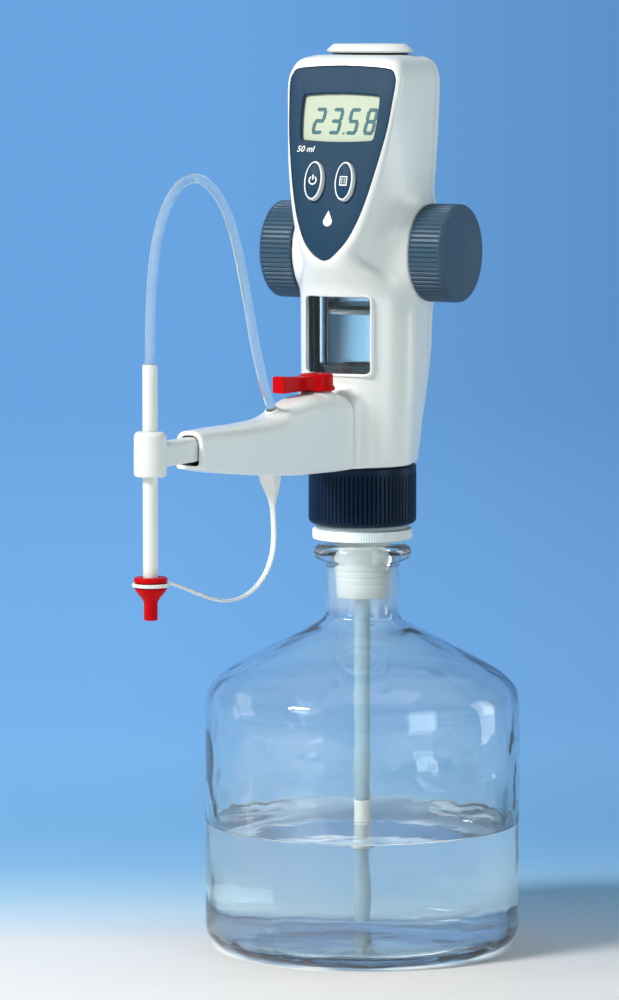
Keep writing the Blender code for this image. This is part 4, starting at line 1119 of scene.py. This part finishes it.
def arm_section(y, wall=0):
    low, high, half = eased([(-row[0], *row[1:]) for row in ARM_LEVELS], -y)
    low, high, half = low + wall, high - wall, half - wall
    corner = half * 0.72
    small = 1.6
    points = arc((-half + small, low + small), small, 180, 270, 4) + arc((half - small, low + small), small,
                                                                         270, 360, 4)
    points += [(half, low + (high - corner - low) * i / 6) for i in range(2, 6)]
    points += arc((half - corner, high - corner), corner, 0, 90, 9)
    points += arc((-half + corner, high - corner), corner, 90, 180, 9)
    points += [(-half, high - corner - (high - corner - low) * i / 6) for i in range(1, 5)]
    return [Vector((x, y, z)) for x, z in points]


def make_arm():
    start, end = ARM_LEVELS[0][0], ARM_LEVELS[-1][0]
    count = 60
    ys = [start + (end - start) * i / count for i in range(count + 1)]
    arm = piece("arm_shell", skin([arm_section(y) for y in ys]), "white_housing")
    neck = lathe([(0, 276), (11.6, 276), (11, 283.5), (9.4, 286.6), (8.4, 287.4), (8.2, 288.3), (0, 288.3)],
                 64, (0, LEVER_Y, 0))
    foot = PORT - PORT_DIRECTION * 7
    swell = lathe([(0, 0), (5.6, 0), (5.2, 6), (4.4, 7.4), (3.9, 7.9), (0, 7.9)], 48, foot, PORT_DIRECTION)
    carved(arm, [neck, swell], "UNION")
    softened(arm, 0.75, 8)
    inner = [start + 3, *ys[1:-1], end - 3]
    hollow = skin([arm_section(y, ARM_WALL) for y in inner])
    spindle = lathe([(0, 270), (6.4, 270), (6.4, 292), (0, 292)], 48, (0, LEVER_Y, 0))
    line = lathe([(0, -9), (4.1, -9), (4.1, 6), (0, 6)], 32, PORT, PORT_DIRECTION)
    stands_for(carved(arm, [hollow, spindle, line], angle=50), "discharge_arm")
    port = [(2.75, -3.2), (3.9, -3.2), (3.9, 1), (3.6, 1.7), (3.1, 2.2), (2.75, 2.2)]
    part("port_collar", "hose_port", lathe(port, 40, PORT, PORT_DIRECTION), "white_plastic")
    levels = []
    for z, back, front, half in ((251.2, -95, -103.6, 4.5), (246, -95.1, -101.6, 3.9), (242, -95.2, -99.4, 3),
                                 (238, -95.4, -97.9, 1.9), (235.6, -95.4, -97.6, 1.5),
                                 (234.4, -95.6, -97.4, 1.4)):
        levels.append((z, rounded((-half, front), (half, back), 0.6)))
    part("strap_root", "strap_tab", stacked(upright, levels), "white_plastic")


def make_lever():
    body = [(0, 288.7), (9.2, 288.7), (9.5, 289.1), (9.5, 290.2), (9, 290.6), (8.5, 291.2), (8.4, 296),
            (8, 296.8), (7.2, 297), (0, 297)]
    lever = piece("lever", lathe(body, 72, (0, LEVER_Y, 0)), "red_plastic")
    turn = Matrix.Rotation(radians(-LEVER_TURN), 3, "Z")
    rows = []
    for reach, half, low, high in ((1, 6.6, 289.2, 296.6), (7, 5.6, 289.2, 296.4), (11.5, 3.9, 289.1, 296.2),
                                   (15.5, 3.3, 289, 296.2), (20, 3.4, 288.8, 296.6), (24, 3.7, 288.7, 296.9),
                                   (28, 3.9, 288.6, 297)):
        outline = rounded((-half, low), (half, high), 0.9, 1.2)
        rows.append([turn @ Vector((x, -reach, z)) + Vector((0, LEVER_Y, 0)) for x, z in outline])
    carved(lever, [skin(rows)], "UNION")
    stands_for(softened(lever, 0.35, 5), "valve_lever")


def make_holder():
    back, front, steps = -121, TIP_Y + 4, 24
    outline = rounded((-4.4, 264), (4.4, 275.6), 1, 3)
    levels = [(front + (back - front) * i / steps, outline) for i in range(steps + 1)]
    holder = piece("holder", stacked(along_y, levels), "white_plastic")
    low, high, r = 260, 281.5, 7.8
    sleeve = [(0, low), (r - 0.6, low), (r, low + 0.6), (r, high - 2.8), (r - 0.35, high - 1.4),
              (r - 1.2, high - 0.4), (r - 2.4, high), (0, high)]
    carved(holder, [lathe(sleeve, 64, (0, TIP_Y, 0))], "UNION")
    softened(holder, 0.55, 4)
    bore = lathe([(0, low - 5), (3.95, low - 5), (3.95, high + 5), (0, high + 5)], 48, (0, TIP_Y, 0))
    stands_for(carved(holder, [bore]), "tube_holder")


def make_titrating_tube():
    axis = (0, TIP_Y, 0)
    tube = [(1.2, 197), (1.7, 197), (2.1, 204), (3.2, 206.4), (3.6, 207.4)]
    tube += [(3.6, z) for z in range(216, 310, 12)] + [(3.6, 312), (3.4, 312.7), (3.1, 313), (2.75, 313),
                                                       (2.75, 300), (1.2, 299)]
    part("outlet_tube", "titrating_tube", lathe(tube, 48, axis), "white_plastic")
    cap = [(0, 191.8), (3, 191.8), (3.3, 192.2), (3.3, 199.8), (3.5, 200.8), (4.6, 202.6), (6.2, 204.4),
           (7.3, 205.9), (7.8, 206.9), (7.75, 207.2), (6.8, 207.35), (6.8, 209.85), (7.8, 210), (8, 210.5),
           (8, 211.6), (7.7, 212.1), (7.2, 212.3), (4.4, 212.3), (4, 211.9), (4, 206.4), (2.5, 203.6),
           (2.3, 195.5), (0, 195.5)]
    part("end_cap", "tip_cap", lathe(cap, 64, axis), "red_plastic")
    ring = filleted([(7.15, RING_Z - 0.9, 0.5), (8.9, RING_Z - 0.9, 0.7), (8.9, RING_Z + 0.9, 0.7),
                     (7.15, RING_Z + 0.9, 0.5)], closed=True)
    part("cap_ring", "strap_ring", lathe(ring, 64, axis), "white_plastic")


# Studio


def painted_shade_to_the_right(tree, place, colour, stretch):
    """The colour, darker in painted shade to the camera's right of this stretch."""
    across = vector_math(tree, "DOT_PRODUCT", place, ACROSS)
    scale = tree.nodes.new("ShaderNodeVectorMath")
    scale.operation = "SCALE"
    feed(colour, scale, 0)
    feed(map_range(tree, across, *stretch, 1, DARKEST_PAINTED_SHADE), scale, "Scale")
    return scale.outputs["Vector"]


def make_floor():
    """Paper that is pale in a painted pool of light near the bottle and glows into the backdrop's blue far
    away, with a streaked glow of painted light under the bottle.
    """
    steps = 96
    rows = [[Vector((r * cos(2 * pi * i / steps), r * sin(2 * pi * i / steps), FLOOR_Z))
             for i in range(steps)] for r in FLOOR_RINGS]
    floor = bpy.data.objects.new("floor", fill(skin([[Vector((0, 0, FLOOR_Z))]] + rows, caps=False), 38))
    bpy.context.scene.collection.objects.link(floor)
    material, tree, shader, place = new_material("floor_paper")
    away = vector_math(tree, "DOT_PRODUCT", place, AWAY)
    nearest, farthest = FLOOR_STOPS[0][0], FLOOR_STOPS[-1][0]
    stops = [((at - nearest) / (farthest - nearest), stop) for at, stop in FLOOR_STOPS]
    colour = ramp(tree, map_range(tree, away, nearest, farthest), stops)
    # Painted shade: the floor darker to the camera's right
    colour = painted_shade_to_the_right(tree, place, colour, FLOOR_FADE)
    feed(colour, shader, "Base Color")
    shader.inputs["Roughness"].default_value = 0.6
    shader.inputs["Specular IOR Level"].default_value = 0.2
    # Painted light: a streaked glow under the bottle stands in for the light the glass gathers onto the floor
    feed(ramp(tree, noise(tree, place, 26, 2), PAINTED_CAUSTIC_STREAKS), shader, "Emission Color")
    under = map_range(tree, vector_math(tree, "LENGTH", place), *PAINTED_CAUSTIC_EDGE, PAINTED_CAUSTIC_STRENGTH, 0)
    feed(under, shader, "Emission Strength")
    glow = tree.nodes.new("ShaderNodeEmission")
    feed(colour, glow, "Color")
    far = map_range(tree, away, *GLOW_STRETCH)
    far.node.interpolation_type = "SMOOTHSTEP"
    mix = tree.nodes.new("ShaderNodeMixShader")
    feed(far, mix, "Fac")
    feed(shader.outputs["BSDF"], mix, 1)
    feed(glow.outputs["Emission"], mix, 2)
    tree.links.new(mix.outputs["Shader"], tree.nodes["Material Output"].inputs["Surface"])
    floor.data.materials.append(material)


def make_world():
    """A pale studio with a blue backdrop on the far side."""
    world = bpy.data.worlds.new("studio")
    bpy.context.scene.world = world
    world.use_nodes = True
    tree = world.node_tree
    direction = tree.nodes.new("ShaderNodeTexCoord").outputs["Generated"]
    colour = ramp(tree, vector_math(tree, "DOT_PRODUCT", direction, AWAY), STUDIO_STOPS)
    # Painted shade: the backdrop darker to the camera's right
    colour = painted_shade_to_the_right(tree, direction, colour, BACKDROP_FADE)
    tree.links.new(colour, tree.nodes["Background"].inputs["Color"])


def add_light(name, place, size, power, colour):
    data = bpy.data.lights.new(name, "AREA")
    data.shape = "RECTANGLE"
    data.size, data.size_y = size
    data.energy = power
    data.color = colour
    light = bpy.data.objects.new(name, data)
    light.location = place
    light.rotation_euler = (Vector(LIGHTS_AIM) - Vector(place)).to_track_quat("-Z", "Y").to_euler()
    light.visible_camera = False
    bpy.context.scene.collection.objects.link(light)
    return light


def light_only(light, names):
    """The light falls on these pieces alone, and only they and the nut stop it."""
    lit = bpy.data.collections.new(f"{light.name}_lit")
    stoppers = bpy.data.collections.new(f"{light.name}_stoppers")
    for name in names:
        lit.objects.link(bpy.data.objects[name])
        stoppers.objects.link(bpy.data.objects[name])
    stoppers.objects.link(bpy.data.objects["nut_ribbed"])
    light.light_linking.receiver_collection = lit
    light.light_linking.blocker_collection = stoppers


def make_studio():
    make_floor()
    make_world()
    for name, place, size, power, colour, lit in LIGHTS:
        light = add_light(name, place, size, power, colour)
        if lit:
            light_only(light, lit)
    for clear_piece in ("window_pane", "barrel_tube"):
        bpy.data.objects[clear_piece].visible_shadow = False
    bpy.context.scene.view_settings.view_transform = "Standard"


def dress_cad_nodes():
    """The CAD nodes that stay are given their slot's material."""
    for name, obj in NODES.items():
        if not obj.hide_render:
            obj.data.materials.clear()
            obj.data.materials.append(MATERIALS[SLOT_OF[name]])


MATERIALS = make_materials()
make_camera()
make_cords()
make_bottle()
make_liquid()
make_adapter()
make_nut()
make_filling_tubes()
make_barrel()
make_handwheels()
make_housing()
make_rear_fittings()
make_top()
make_display()
make_window()
make_arm()
make_lever()
make_holder()
make_titrating_tube()
dress_cad_nodes()
make_studio()
